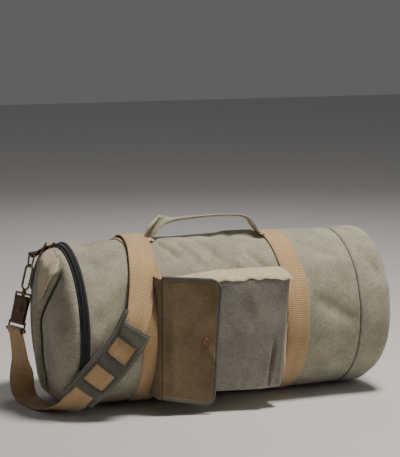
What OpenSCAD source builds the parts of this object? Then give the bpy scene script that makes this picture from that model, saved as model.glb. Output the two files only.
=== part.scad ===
// Canvas barrel duffel bag lying on its side: round zipped end at -X, sewn base at +X,
// flap pocket on the front (-Y), carry handle on top and a clip-on webbing shoulder strap.
// The origin is on the floor, under the bag's own axis, at the middle of its length.

/* [Body] */
// Radius of the canvas barrel
body_r = 149; // [140:1:155]
// Half of the barrel's length, from the middle to the base
body_half = 304; // [296:1:308]
// Thickness of the lined canvas
wall = 2.5; // [2:0.5:3]
// Distance from the middle to the seam of the base sleeve
seam_x = 236; // [220:1:245]
// Depth of the domed end panel beyond its rim
dome_depth = 34; // [30:1:34]

/* [Webbing] */
// Width of the bands sewn round the barrel
band_w = 45; // [40:1:48]
// Width of the shoulder strap
strap_w = 45; // [38:1:46]
// Thickness of the shoulder strap
strap_t = 3; // [2:0.5:3]
// Width of the shoulder pad
pad_w = 62; // [58:1:64]

/* [Pocket] */
// Height of the pocket front
pocket_h = 202; // [190:1:204]
// Thickness of the pocket cloth
cloth = 2; // [1.5:0.5:2]
// Width of the flap from its hinge to its free edge
flap_w = 108; // [100:1:110]
// Height of the flap
flap_h = 226; // [210:1:228]

/* [Hardware] */
// Radius of the wire of the snap hook and the strap loop
wire_r = 2; // [1.8:0.1:2.1]
// Radius of the wire of the D-ring
ring_wire_r = 1.65; // [1.5:0.05:1.8]
// Lean of the hanging hardware away from the bag's end
hang_lean = 16; // [14:1:17]

/* [Hidden] */
$fn = 96;

// the barrel's axis is a little lower than its radius, so it stands on a flat underneath
axis_z = 147;
band_r = body_r + 2;
belly_z = 0;
inner_r = body_r - wall;
big = 1000;
gap = 0.5;

// the 45 degree rim that carries the zip, from the barrel to the end panel
rim_x = -289;
lip_x = -302;
lip_r = 140;
mid_x = (rim_x + lip_x) / 2;
mid_r = (body_r + lip_r) / 2;
dome_power = 2.5;

// the lid folds along an upright line at this place
fold_y = 44;
fold_x = lip_x - dome_depth;
// the zip parks beyond the fold, on the part of the end that never opens
zip_end_y = 56;
slider_phi = asin(50 / body_r);

band_left_x = -167;
band_right_x = 110.5;

flap_hinge_x = -157;
flap_hinge_y = -155.5;
flap_z0 = 21;
flap_t = 2.5;
flap_turn = 8;
pocket_x0 = -122;
pocket_x1 = 79;
pocket_z0 = 38;
pocket_y0 = -154.5;
pocket_slope = tan(flap_turn);
snap_reach = 79;
snap_z = 132;

handle_w = 28;
handle_z = 302;

// where the swivel under the front hook stands, and the hook's own size
hook_y = 82;
swivel_p = [-345.8, 77.7, 197.84];
hook_in_w = 11;
hook_h = 46;
loop_w = 50;
loop_turn = 20;
ring_r = 14;
ring_leg = 8;
ring_p = [-329, hook_y, 265];

canvas = [0.55, 0.56, 0.50];
cream = [0.80, 0.74, 0.60];
tan_web = [0.72, 0.56, 0.37];
khaki = [0.45, 0.37, 0.25];
leather = [0.27, 0.13, 0.09];
brass = [0.62, 0.50, 0.30];
zip_black = [0.13, 0.13, 0.14];

// Route of the shoulder strap, chosen by hand: place, then the direction of its width.
ROUTE = [
    [-364.5, 71, 123.8, 0.34, -0.94, 0], [-360, 73, 98, 0.4, -0.92, 0], [-356, 75, 70, 0.5, -0.86, 0],
    [-354, 75, 44, 0.85, -0.5, 0], [-354, 71, 21, 1, -0.1, 0], [-352, 58, 6, 1, 0, 0],
    [-350, 36, 2.5, 1, 0, 0], [-346, 4, 2.5, 1, 0, 0], [-338, -30, 3, 1, 0.1, 0],
    [-327, -64, 7, 1, 0.1, -0.15], [-316, -96, 17, 1, 0, -0.3], [-303, -121, 36, 0.87, -0.1, -0.42],
    [-284, -142, 64, 0.82, -0.1, -0.52], [-262, -155, 92, 0.78, -0.1, -0.58], [-240, -161, 120, 0.76, -0.1, -0.6],
    [-219, -163, 150, 0.8, -0.1, -0.55], [-204, -160, 181, 0.93, 0, -0.3], [-194, -147, 210, 1, 0, -0.1],
    [-184, -125, 243, 1, 0, 0], [-176, -98, 269, 1, 0, 0], [-166, -54, 294, 1, 0, 0],
    [-160, 0, 304, 1, 0, 0], [-156, 52, 295, 1, 0, 0], [-150, 104, 264, 1, 0, 0],
    [-140, 142, 212, 1, 0, 0.1], [-120, 158, 160, 0.9, 0, 0.4], [-84, 161, 112, 0.75, 0, 0.65],
    [-30, 161, 76, 0.5, 0, 0.85], [40, 161, 56, 0.2, 0, 0.98], [120, 160, 48, 0.1, 0, 1],
    [200, 157, 44, 0, 0, 1], [262, 147, 42, -0.1, 0.1, 0.98], [314, 127, 46, -0.3, 0.4, 0.85],
    [343, 100, 62, -0.35, 0.83, 0.45], [357, 79, 92, -0.36, 0.93, 0.1], [364.5, 71, 123.8, -0.34, 0.94, 0]];
STEPS = 4;
PAD_FROM = 11;
PAD_TO = 16;
WINDOWS = [[12.1, 13.05], [13.6, 14.55]];

// ---- ribbons -------------------------------------------------------------------------------
function unit(v) = v / norm(v);
function head(v) = [v[0], v[1], v[2]];
function tail(v) = [v[3], v[4], v[5]];
function pick(p, i) = p[max(0, min(len(p) - 1, i))];
function curve_at(p, u) = let(i = min(floor(u), len(p) - 2), t = u - i,
    a = pick(p, i - 1), b = pick(p, i), c = pick(p, i + 1), d = pick(p, i + 2))
    0.5 * (2 * b + (c - a) * t + (2 * a - 5 * b + 4 * c - d) * t * t
           + (3 * b - a - 3 * c + d) * t * t * t);
function heading(p, u) = unit(head(curve_at(p, min(u + 0.01, len(p) - 1)))
                              - head(curve_at(p, max(u - 0.01, 0))));
function across(p, u) = let(t = heading(p, u), w = tail(curve_at(p, u))) unit(w - (w * t) * t);
// a path may carry a seventh number, which narrows the strip there
function gather(p, u) = len(p[0]) > 6 ? curve_at(p, u)[6] : 1;
function ring_at(p, u, half, lo, hi) = let(c = head(curve_at(p, u)), w = across(p, u),
    n = cross(heading(p, u), w), side = w * half * gather(p, u))
    [c - side + n * lo, c + side + n * lo, c + side + n * hi, c - side + n * hi];

// A flat strip along the path from u0 to u1; lo and hi are its faces, measured along its normal.
module ribbon(p, u0, u1, steps, half, lo, hi) {
    last = round((u1 - u0) * steps);
    rings = [for (i = [0 : last]) ring_at(p, u0 + (u1 - u0) * i / last, half, lo, hi)];
    points = [for (r = rings) for (q = r) q];
    sides = [for (i = [0 : last - 1]) for (k = [0 : 3])
        let(a = 4 * i + k, b = 4 * i + (k + 1) % 4)
        for (f = [[b, a, b + 4], [b + 4, a, a + 4]]) f];
    end = 4 * last;
    caps = [[1, 2, 3], [0, 1, 3], [end + 2, end + 1, end], [end + 3, end + 2, end]];
    polyhedron(points, concat(sides, caps));
}

// ---- the barrel ----------------------------------------------------------------------------
// Turns a profile of [radius, x] points about the barrel's axis.
module turned(points) {
    translate([0, 0, axis_z]) rotate([0, 90, 0]) rotate_extrude() polygon(points);
}

module above(z) {
    translate([-big, -big, z]) cube([2 * big, 2 * big, big]);
}

module front_of(y) {
    translate([-big, y - 2 * big, -big]) cube([2 * big, 2 * big, 2 * big]);
}

module behind(y) {
    translate([-big, y, -big]) cube([2 * big, 2 * big, 2 * big]);
}

// A hollow sleeve that keeps its wall along the flat underneath.
module sleeve(x0, x1, r, floor_z, thick) {
    difference() {
        intersection() {
            translate([x0, 0, axis_z]) rotate([0, 90, 0]) cylinder(h = x1 - x0, r = r);
            above(floor_z);
        }
        intersection() {
            translate([x0 - 1, 0, axis_z]) rotate([0, 90, 0]) cylinder(h = x1 - x0 + 2, r = r - thick);
            above(floor_z + thick);
        }
    }
}

module body_tube() {
    color(canvas) sleeve(rim_x, seam_x, body_r, belly_z, wall);
}

module base_sleeve() {
    turn = 14;
    face_x = body_half - turn;
    rounded = [for (a = [0 : 15 : 90]) [body_r - turn + turn * cos(a), face_x + turn * sin(a)]];
    inside = [for (a = [90 : -15 : 0])
        [body_r - turn + (turn - wall) * cos(a), face_x + (turn - wall) * sin(a)]];
    color(canvas) {
        sleeve(seam_x, face_x, body_r, belly_z, wall);
        intersection() {
            turned(concat(rounded, inside));
            above(belly_z);
        }
    }
}

module base_panel() {
    edge_r = body_r - 14;
    crown = 3;
    color(canvas) turned([[0, body_half - wall], [0, body_half + crown],
        [edge_r * 0.6, body_half + crown * 0.7], [edge_r, body_half], [edge_r, body_half - wall]]);
}

// ---- the zipped end ------------------------------------------------------------------------
function dome_x(r, depth) = lip_x - depth * pow(1 - pow(r / lip_r, dome_power), 1 / dome_power);
DOME_STEPS = [1, 0.985, 0.96, 0.92, 0.86, 0.78, 0.66, 0.5, 0.3, 0];

module dome() {
    outer = [for (s = DOME_STEPS) [lip_r * s, dome_x(lip_r * s, dome_depth)]];
    inner = [for (i = [len(DOME_STEPS) - 1 : -1 : 0]) let(s = DOME_STEPS[i])
        [(lip_r - wall) * s, dome_x(lip_r * s, dome_depth) + wall]];
    turned(concat(outer, inner));
}

// One half of the sloping zip band, between two places along the rim's slope. It stops short of
// the barrel's cut end, and of the floor.
module rim_half(from, to, lift, thick) {
    intersection() {
        rim_ring(from, to, lift, thick);
        translate([rim_x - 50, -big, 0]) cube([50, 2 * big, big]);
    }
}

module rim_ring(from, to, lift, thick) {
    along = unit([lip_r - body_r, lip_x - rim_x]);
    out = [-along[1], along[0]];
    mid = [mid_r, mid_x];
    turned([mid + along * from + out * lift, mid + along * to + out * lift,
            mid + along * to + out * (lift + thick), mid + along * from + out * (lift + thick)]);
}

slope_half = norm([body_r - lip_r, rim_x - lip_x]) / 2;
split = 0.35;

module end_panel() {
    color(canvas) {
        intersection() {
            dome();
            behind(fold_y + gap);
        }
        intersection() {
            rim_half(split, slope_half, -wall, wall);
            behind(fold_y + gap);
        }
        intersection() {
            rim_half(-slope_half, split, -wall, wall);
            behind(zip_end_y + gap);
        }
    }
}

module end_lid() {
    color(canvas) intersection() {
        dome();
        front_of(fold_y - gap);
    }
}

// Cream strip sewn down the upper half of the lid, narrowing towards the middle.
module lid_facing() {
    color(cream) intersection() {
        difference() {
            translate([-1.2, 0, 0]) dome();
            dome();
        }
        rotate([90, 0, 90]) translate([0, 0, -400])
            linear_extrude(200)
            polygon([[-41, 281], [30, 281], [8, 240], [11, 206], [6, 188], [-14, 186], [-36, 212],
                     [-47, 240], [-50, 265]]);
    }
}

module zip_tape_body() {
    color(zip_black) intersection() {
        rim_half(-slope_half, -split, -1.4, 1.4);
        front_of(zip_end_y);
    }
}

// The lid's half of the zip passes over the strap on the floor, so it stops just above it.
lid_zip_z = 6.8;

module zip_tape_lid() {
    color(zip_black) intersection() {
        rim_half(split, slope_half - 0.4, -1.4, 1.4);
        front_of(fold_y - gap);
        above(lid_zip_z);
    }
}

module zip_teeth_body() {
    color(zip_black) intersection() {
        rim_half(-2.6, -split, 0, 1.2);
        front_of(zip_end_y);
    }
}

module zip_teeth_lid() {
    color(zip_black) intersection() {
        rim_half(split, 2.6, 0, 1.2);
        front_of(fold_y - gap);
        above(lid_zip_z);
    }
}

// Everything at the zip's parking place is drawn at the top and swung back by this.
module at_slider() {
    translate([0, 0, axis_z]) rotate([-slider_phi, 0, 0]) translate([0, 0, -axis_z]) children();
}

module zip_slider() {
    tilt = atan2(body_r - lip_r, rim_x - lip_x);
    color(brass) at_slider() translate([mid_x, 0, axis_z + mid_r]) rotate([0, -tilt, 0]) difference() {
        translate([0.6, -6, 1.6]) cube([5.4, 12, 3.6]);
        translate([3.3, 0, 0]) cylinder(h = 8, r = 1.2);
    }
}

// A thin leather strip that follows the curve of the end as it hangs.
PULL = [[-310.3, 290.5], [-321, 270], [-331, 248], [-337.5, 224], [-340, 207]];

module zip_pull() {
    color(leather) translate([0, 50, 0]) difference() {
        translate([0, 4.5, 0]) rotate([90, 0, 0]) linear_extrude(9)
            for (i = [0 : len(PULL) - 2]) hull() for (p = [PULL[i], PULL[i + 1]])
                translate(p) circle(r = 1, $fn = 24);
        translate([-312.4, 0, 286.5]) rotate([0, -62.4, 0]) translate([0, 0, -5]) cylinder(h = 10, r = 1.6);
    }
}

// ---- bands and handle ----------------------------------------------------------------------
// A band runs round the barrel and ends a little above the floor on each side of the flat.
module band(x) {
    color(tan_web) intersection() {
        translate([x - band_w / 2, 0, axis_z]) rotate([0, 90, 0]) difference() {
            cylinder(h = band_w, r = band_r);
            translate([0, 0, -1]) cylinder(h = band_w + 2, r = body_r);
        }
        above(0.5);
    }
}

module band_left() {
    band(band_left_x);
}

module band_right() {
    band(band_right_x);
}

// A domed rivet head, its flat side at the given place on the band.
module rivet(x, phi, r) {
    translate([0, 0, axis_z]) rotate([phi, 0, 0]) translate([x, 0, band_r])
        intersection() {
            sphere(r = r, $fn = 32);
            translate([-r, -r, 0]) cube([2 * r, 2 * r, r * 0.5]);
        }
}

module band_rivets() {
    color(brass) for (phi = [9, -9]) {
        rivet(105, phi, 3.5);
        rivet(-148, phi - 20 * sign(phi), 3.5);
    }
}

// Path of the handle: place, direction of its width, and how far it is gathered there.
HANDLE = [[-122, 0, 304, 0, 1, 0, 0.35], [-114, 0, 318, 0, 1, 0, 0.9], [-96, 0, 331, 0, 1, 0, 1],
          [-60, 0, 333, 0, 1, 0, 1], [-5, 0, 335, 0, 1, 0, 1], [45, 0, 333, 0, 1, 0, 1],
          [68, 0, 328, 0, 1, 0, 1], [79, 0, 317, 0, 1, 0, 0.9], [85, 0, 304, 0, 1, 0, 0.35]];

module handle_top() {
    color(canvas) ribbon(HANDLE, 0, 8, 4, handle_w / 2, 0.02, 2);
}

module handle_lining() {
    color(cream) ribbon(HANDLE, 0, 8, 4, handle_w / 2 - 1, -1.8, 0);
}

module handle_tabs() {
    color(cream) for (x = [-131, 89.5]) {
        intersection() {
            sleeve(x - 7, x + 9, band_r + 1.6, -10, 1.6);
            translate([x - 20, -handle_w / 2, axis_z]) cube([40, handle_w, 200]);
        }
    }
}

// ---- pocket --------------------------------------------------------------------------------
function pocket_y(x) = pocket_y0 - pocket_slope * (x - pocket_x0);

module pocket_front() {
    z1 = pocket_z0 + pocket_h;
    color(canvas) translate([0, 0, pocket_z0]) linear_extrude(z1 - pocket_z0)
        polygon([[pocket_x0, pocket_y(pocket_x0)], [pocket_x1, pocket_y(pocket_x1)],
                 [pocket_x1, pocket_y(pocket_x1) + cloth], [pocket_x0, pocket_y(pocket_x0) + cloth]]);
}

// The plan of the pocket behind its front, drawn in by the given amount on its closed side.
module pocket_plan(inset) {
    polygon([[pocket_x0 - inset * 5, pocket_y(pocket_x0 - inset * 5) + cloth],
             [pocket_x1 - inset, pocket_y(pocket_x1 - inset) + cloth],
             [pocket_x1 - inset, 0], [pocket_x0 - inset * 5, 0]]);
}

module pocket_gusset() {
    z1 = pocket_z0 + pocket_h;
    rise = 14;
    color(cream) difference() {
        intersection() {
            translate([0, 0, pocket_z0]) linear_extrude(pocket_h + rise) pocket_plan(0);
            rotate([90, 0, 90]) translate([0, 0, -200]) linear_extrude(400)
                polygon([[-190, pocket_z0], [-190, z1 - 0.5], [-110, z1 + rise], [-90, z1 + rise],
                         [-90, pocket_z0]]);
        }
        intersection() {
            translate([0, 0, pocket_z0 + cloth]) linear_extrude(pocket_h + rise)
                translate([0, -0.01]) pocket_plan(cloth);
            rotate([90, 0, 90]) translate([0, 0, -200]) linear_extrude(400)
                polygon([[-200, pocket_z0 + cloth], [-200, z1 - 4], [-110, z1 + rise - cloth],
                         [-60, z1 + rise - cloth], [-60, pocket_z0 + cloth]]);
        }
        translate([-200, 0, axis_z]) rotate([0, 90, 0]) cylinder(h = 400, r = band_r + 0.1);
    }
}

// The flap is drawn flat, hinge edge at the origin, and turned to lie on the pocket.
module at_flap() {
    translate([flap_hinge_x, flap_hinge_y, flap_z0]) rotate([0, 0, -flap_turn]) rotate([90, 0, 0])
        children();
}

module flap_outline(inset) {
    r = 16 - inset;
    translate([0, inset]) square([20, flap_h - 2 * inset]);
    hull() for (y = [inset + r, flap_h - inset - r]) {
        translate([flap_w - inset - r, y]) circle(r = r);
        translate([10, y - r]) square([1, 2 * r]);
    }
}

binding_w = 7;

module pocket_flap() {
    color(khaki) at_flap() difference() {
        translate([0, 0, -flap_t / 2]) linear_extrude(flap_t) flap_outline(binding_w);
        translate([snap_reach, snap_z - flap_z0, -5]) cylinder(h = 10, r = 2.5);
    }
}

module flap_binding() {
    color(canvas) at_flap() translate([0, 0, -flap_t / 2 - 0.4]) linear_extrude(flap_t + 0.8)
        difference() {
            flap_outline(0);
            flap_outline(binding_w);
            translate([-1, binding_w]) square([12, flap_h - 2 * binding_w]);
        }
}

// Brown cap outside the flap, its post through the flap and the socket on the inner side.
module snap_cap() {
    color(leather) at_flap() translate([snap_reach, snap_z - flap_z0, 0]) {
        difference() {
            translate([0, 0, flap_t / 2]) cylinder(h = 2.6, r = 7.5);
            translate([0, 0, flap_t / 2 + 1.6]) difference() {
                cylinder(h = 3, r = 9);
                cylinder(h = 3, r1 = 7.2, r2 = 5.2);
            }
        }
        translate([0, 0, -flap_t / 2]) cylinder(h = flap_t, r = 2.5);
        translate([0, 0, -flap_t / 2 - 1]) difference() {
            cylinder(h = 1, r = 5.5);
            translate([0, 0, -1]) cylinder(h = 3, r = 3.2);
        }
    }
}

module snap_stud() {
    color(brass) at_flap() translate([snap_reach, snap_z - flap_z0, -5.4]) cylinder(h = 3, r = 2.6);
}

// ---- shoulder strap ------------------------------------------------------------------------
module shoulder_strap() {
    color(tan_web) ribbon(ROUTE, 0, len(ROUTE) - 1, STEPS, strap_w / 2, -strap_t / 2, strap_t / 2);
}

module shoulder_pad() {
    skin = 3;
    room = strap_t / 2 + 0.2;
    color(canvas) difference() {
        ribbon(ROUTE, PAD_FROM, PAD_TO, STEPS, pad_w / 2, -room - skin, room + skin);
        ribbon(ROUTE, PAD_FROM - 0.5, PAD_TO + 0.5, STEPS, strap_w / 2 + 0.3, -room, room);
        for (w = WINDOWS)
            ribbon(ROUTE, w[0], w[1], STEPS, strap_w / 2 - 3, -room - skin - 2, 0);
    }
}

// ---- hardware at the two ends --------------------------------------------------------------
// side is 1 at the zipped end and -1 at the base, which is its mirror image.
module end_frame(side) {
    if (side > 0) children();
    else mirror([1, 0, 0]) children();
}

module hang_frame(side) {
    end_frame(side) translate(swivel_p) rotate([0, 0, loop_turn]) rotate([0, hang_lean, 0]) children();
}

module anchor_tab(side) {
    // leather strip from the barrel's rim out to a fold round the D-ring's bar
    start = [-282, axis_z + 136];
    bend = [-303, axis_z + 131.5];
    nose = [ring_p[0], ring_p[2]];
    bore_r = ring_wire_r + 0.06;
    color(leather) end_frame(side) difference() {
        union() {
            translate([0, hook_y + 11, 0]) rotate([90, 0, 0]) linear_extrude(22) {
                for (ends = [[start, bend], [bend, nose]]) hull() for (p = ends)
                    translate(p) circle(r = 2, $fn = 24);
            }
            translate([nose[0], hook_y + 11, nose[1]]) rotate([90, 0, 0]) cylinder(h = 22, r = 4);
        }
        translate([nose[0], hook_y + 20, nose[1]]) rotate([90, 0, 0]) cylinder(h = 40, r = bore_r);
        // the barrel and its sloping rim pass below the tab
        translate([0, 0, axis_z]) rotate([0, 90, 0]) translate([0, 0, rim_x]) cylinder(h = 600, r = body_r + 0.2);
        if (side < 0) translate([-body_half - 0.2, 0, axis_z]) rotate([0, 90, 0])
            cylinder(h = 600, r = body_r + 0.2);
        turned([[0, lip_x - 60], [lip_r + 1, lip_x - 5], [lip_r + 1, lip_x], [body_r + 0.2, rim_x + 0.1], [0, rim_x]]);
    }
}

module tab_rivets(side) {
    color(brass) end_frame(side) for (dy = [-6, 6]) translate([-293, hook_y + dy, axis_z + 134.2])
        rotate([0, -8, 0]) translate([0, 0, 1.6]) cylinder(h = 2, r = 2.6);
}

module d_ring(side) {
    leg_y = ring_r + ring_wire_r;
    color(brass) end_frame(side) translate(ring_p) rotate([0, 12, 0]) {
        rotate([90, 0, 0]) translate([0, 0, -leg_y]) cylinder(h = 2 * leg_y, r = ring_wire_r);
        for (s = [-1, 1]) {
            translate([0, s * leg_y, 0]) sphere(r = ring_wire_r, $fn = 32);
            translate([0, s * leg_y, -ring_leg]) cylinder(h = ring_leg, r = ring_wire_r);
        }
        translate([0, 0, -ring_leg]) rotate([0, 90, 0]) rotate([0, 0, -90])
            rotate_extrude(angle = 180) translate([leg_y, 0]) circle(r = ring_wire_r, $fn = 32);
    }
}

hook_r = hook_in_w / 2 + wire_r;
arc_z = hook_h - hook_r + 4;
foot_z = 4 + hook_r;

// Wire snap hook: a spine, a nose over the top and a foot that carries the gate.
module snap_hook(side) {
    color(brass) hang_frame(side) {
        translate([-hook_r, 0, foot_z]) cylinder(h = arc_z - foot_z, r = wire_r);
        translate([0, 0, arc_z]) rotate([90, 0, 0]) rotate_extrude(angle = 180)
            translate([hook_r, 0]) circle(r = wire_r, $fn = 32);
        translate([0, 0, foot_z]) rotate([90, 0, 0]) rotate([0, 0, 180]) rotate_extrude(angle = 180)
            translate([hook_r, 0]) circle(r = wire_r, $fn = 32);
        translate([hook_r, 0, arc_z - 3]) cylinder(h = 3, r = wire_r);
        translate([0, 0, -7]) cylinder(h = 10, r = 2.2);
        translate([0, 0, -8.5]) cylinder(h = 1.6, r = 3.2);
        translate([0, 0, 1]) cylinder(h = 2.2, r = 3.6);
    }
}

module hook_gate(side) {
    low = foot_z + 2.4;
    color(brass) hang_frame(side) translate([hook_r, 0, low]) {
        translate([0, 0, 0]) cylinder(h = arc_z - 3.5 - low, r = 1.5);
        rotate([90, 0, 0]) translate([0, 0, -2.2]) cylinder(h = 4.4, r = 1.8);
    }
}

module strap_loop(side) {
    half = loop_w / 2 - wire_r;
    top = -4;
    low = -14;
    color(brass) hang_frame(side) {
        difference() {
            union() {
                translate([0, 0, -6.5]) cylinder(h = 7, r = 4.4);
                translate([0, half, top]) rotate([90, 0, 0]) cylinder(h = 2 * half, r = wire_r);
            }
            translate([0, 0, -10]) cylinder(h = 20, r = 2.25);
        }
        translate([0, half, low]) rotate([90, 0, 0]) cylinder(h = 2 * half, r = wire_r);
        for (s = [-1, 1]) {
            translate([0, s * half, low]) cylinder(h = top - low, r = wire_r);
            for (z = [top, low]) translate([0, s * half, z]) sphere(r = wire_r, $fn = 32);
        }
    }
}

chape_w = 42;
bar_z = -72;

// Leather chape: folded round the loop's lower bar, both layers running down to the buckle.
module chape(side) {
    color(leather) hang_frame(side) difference() {
        translate([0, chape_w / 2, 0]) rotate([90, 0, 0]) linear_extrude(chape_w) {
            translate([0, -14]) circle(r = wire_r + 2.4);
            translate([-3.4, -60]) square([3.2, 46]);
            translate([0.2, -60]) square([3.2, 46]);
        }
        translate([0, chape_w, -14]) rotate([90, 0, 0]) cylinder(h = 2 * chape_w, r = wire_r);
        translate([-4, 0, -36]) rotate([0, 90, 0]) cylinder(h = 8, r = 1.6);
        translate([0, chape_w, bar_z + 15]) rotate([90, 0, 0]) cylinder(h = 2 * chape_w, r = 1.5);
    }
}

module chape_rivet(side) {
    color(brass) hang_frame(side) translate([-4.8, 0, -36]) rotate([0, 90, 0]) {
        cylinder(h = 9.6, r = 1.6);
        cylinder(h = 1.4, r = 4);
        translate([0, 0, 8.2]) cylinder(h = 1.4, r = 4);
    }
}

// Buckle bar with a knob at each end, carried by two side cheeks.
module buckle(side) {
    half = 26;
    color(brass) hang_frame(side) {
        translate([0, half, bar_z]) rotate([90, 0, 0]) cylinder(h = 2 * half, r = 1.6);
        for (s = [-1, 1]) {
            translate([0, s * half, bar_z]) sphere(r = 4, $fn = 32);
            translate([-1.5, s * (half - 1.4) - 1, bar_z]) cube([3, 2, 16]);
        }
        translate([0, half - 1.4, bar_z + 15]) rotate([90, 0, 0]) cylinder(h = 2 * half - 2.8, r = 1.5);
    }
}

module buckle_roller(side) {
    color(brass) hang_frame(side) translate([0, 21.4, bar_z]) rotate([90, 0, 0]) difference() {
        cylinder(h = 42.8, r = 3);
        translate([0, 0, -1]) cylinder(h = 50, r = 1.66);
    }
}

module front_anchor_tab() { anchor_tab(1); }
module front_tab_rivets() { tab_rivets(1); }
module front_d_ring() { d_ring(1); }
module front_snap_hook() { snap_hook(1); }
module front_hook_gate() { hook_gate(1); }
module front_strap_loop() { strap_loop(1); }
module front_chape() { chape(1); }
module front_chape_rivet() { chape_rivet(1); }
module front_buckle() { buckle(1); }
module front_buckle_roller() { buckle_roller(1); }
module rear_anchor_tab() { anchor_tab(-1); }
module rear_tab_rivets() { tab_rivets(-1); }
module rear_d_ring() { d_ring(-1); }
module rear_snap_hook() { snap_hook(-1); }
module rear_hook_gate() { hook_gate(-1); }
module rear_strap_loop() { strap_loop(-1); }
module rear_chape() { chape(-1); }
module rear_chape_rivet() { chape_rivet(-1); }
module rear_buckle() { buckle(-1); }
module rear_buckle_roller() { buckle_roller(-1); }

body_tube();
base_sleeve();
base_panel();
end_panel();
end_lid();
lid_facing();
zip_tape_body();
zip_tape_lid();
zip_teeth_body();
zip_teeth_lid();
zip_slider();
zip_pull();
band_left();
band_right();
band_rivets();
handle_top();
handle_lining();
handle_tabs();
pocket_front();
pocket_gusset();
pocket_flap();
flap_binding();
snap_cap();
snap_stud();
shoulder_strap();
shoulder_pad();
front_anchor_tab();
front_tab_rivets();
front_d_ring();
front_snap_hook();
front_hook_gate();
front_strap_loop();
front_chape();
front_chape_rivet();
front_buckle();
front_buckle_roller();
rear_anchor_tab();
rear_tab_rivets();
rear_d_ring();
rear_snap_hook();
rear_hook_gate();
rear_strap_loop();
rear_chape();
rear_chape_rivet();
rear_buckle();
rear_buckle_roller();
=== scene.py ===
import math

import bmesh
import bpy
import numpy as np
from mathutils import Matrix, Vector


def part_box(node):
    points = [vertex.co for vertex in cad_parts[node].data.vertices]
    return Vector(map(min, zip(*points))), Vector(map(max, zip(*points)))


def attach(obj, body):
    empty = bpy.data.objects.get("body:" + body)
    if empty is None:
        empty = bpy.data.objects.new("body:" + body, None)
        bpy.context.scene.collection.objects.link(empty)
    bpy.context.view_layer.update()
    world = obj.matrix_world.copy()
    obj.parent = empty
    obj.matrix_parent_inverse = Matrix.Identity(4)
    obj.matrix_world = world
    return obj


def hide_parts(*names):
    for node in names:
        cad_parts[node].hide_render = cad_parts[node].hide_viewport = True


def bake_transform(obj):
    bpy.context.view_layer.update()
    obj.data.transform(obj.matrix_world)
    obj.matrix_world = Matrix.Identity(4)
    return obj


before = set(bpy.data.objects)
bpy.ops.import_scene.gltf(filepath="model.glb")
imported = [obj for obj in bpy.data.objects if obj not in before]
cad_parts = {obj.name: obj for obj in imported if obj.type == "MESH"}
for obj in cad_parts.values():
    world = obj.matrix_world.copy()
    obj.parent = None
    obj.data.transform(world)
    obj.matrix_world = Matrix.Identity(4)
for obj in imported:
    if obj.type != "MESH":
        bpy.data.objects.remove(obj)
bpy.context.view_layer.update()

# ---- driving sizes, in metres ----------------------------------------------------------------
AXIS_Z = 0.147            # height of the barrel's axis
BODY_R = 0.149            # outside of the canvas barrel
BAND_R = 0.151            # outside of the webbing bands
RIM_X, LIP_X = -0.289, -0.302
LIP_R = 0.140
ZIP_END_Y = 0.056
ZIP_R = 0.145             # the zip's arc round the end
SEAM_X = 0.236
BODY_HALF = 0.304
DOME = 0.034
BAND_W = 0.043
BAND_X = (-0.167, 0.1092)
STRAP_W = 0.045
PAD_W = 0.062


# ---- camera, light and floor -----------------------------------------------------------------
def add_camera():
    azimuth, elevation = math.radians(-20.64), math.radians(8.55)
    aim = Vector((-0.02737, 0, 0.30958))
    distance = 3.1566
    back = Vector((math.sin(azimuth) * math.cos(elevation),
                   -math.cos(azimuth) * math.cos(elevation), math.sin(elevation)))
    data = bpy.data.cameras.new("camera")
    data.lens, data.sensor_width, data.sensor_fit = 133.4, 36, "AUTO"
    camera = bpy.data.objects.new("camera", data)
    camera.location = aim + back * distance
    camera.rotation_euler = back.to_track_quat("Z", "Y").to_euler()
    bpy.context.collection.objects.link(camera)
    bpy.context.scene.camera = camera


def add_area(name, place, aim, size, power, colour):
    data = bpy.data.lights.new(name, "AREA")
    data.shape, data.size, data.energy, data.color = "DISK", size, power, colour
    lamp = bpy.data.objects.new(name, data)
    lamp.location = place
    lamp.rotation_euler = (Vector(place) - Vector(aim)).to_track_quat("Z", "Y").to_euler()
    bpy.context.collection.objects.link(lamp)


def add_studio():
    add_area("key", (0.42, -0.42, 2.0), (-0.05, 0, 0.15), 0.50, 46, (1, 0.96, 0.90))
    add_area("fill", (1.9, -2.2, 1.2), (0, 0, 0.15), 1.8, 3.5, (0.95, 0.97, 1))
    add_area("back", (0.6, 1.8, 1.6), (0, 0, 0.2), 1.4, 9, (1, 1, 1))
    world = bpy.data.worlds.new("studio")
    world.use_nodes = True
    world.node_tree.nodes["Background"].inputs[0].default_value = (0.80, 0.80, 0.82, 1)
    world.node_tree.nodes["Background"].inputs[1].default_value = 0.15
    bpy.context.scene.world = world
    bpy.ops.mesh.primitive_plane_add(size=14, location=(0, 0, 0))
    floor = bpy.context.object
    floor.name = "floor"
    paint = bpy.data.materials.new("floor_paint")
    paint.use_nodes = True
    shader = paint.node_tree.nodes["Principled BSDF"]
    shader.inputs["Base Color"].default_value = (0.66, 0.65, 0.63, 1)
    shader.inputs["Roughness"].default_value = 0.75
    floor.data.materials.append(paint)


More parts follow.
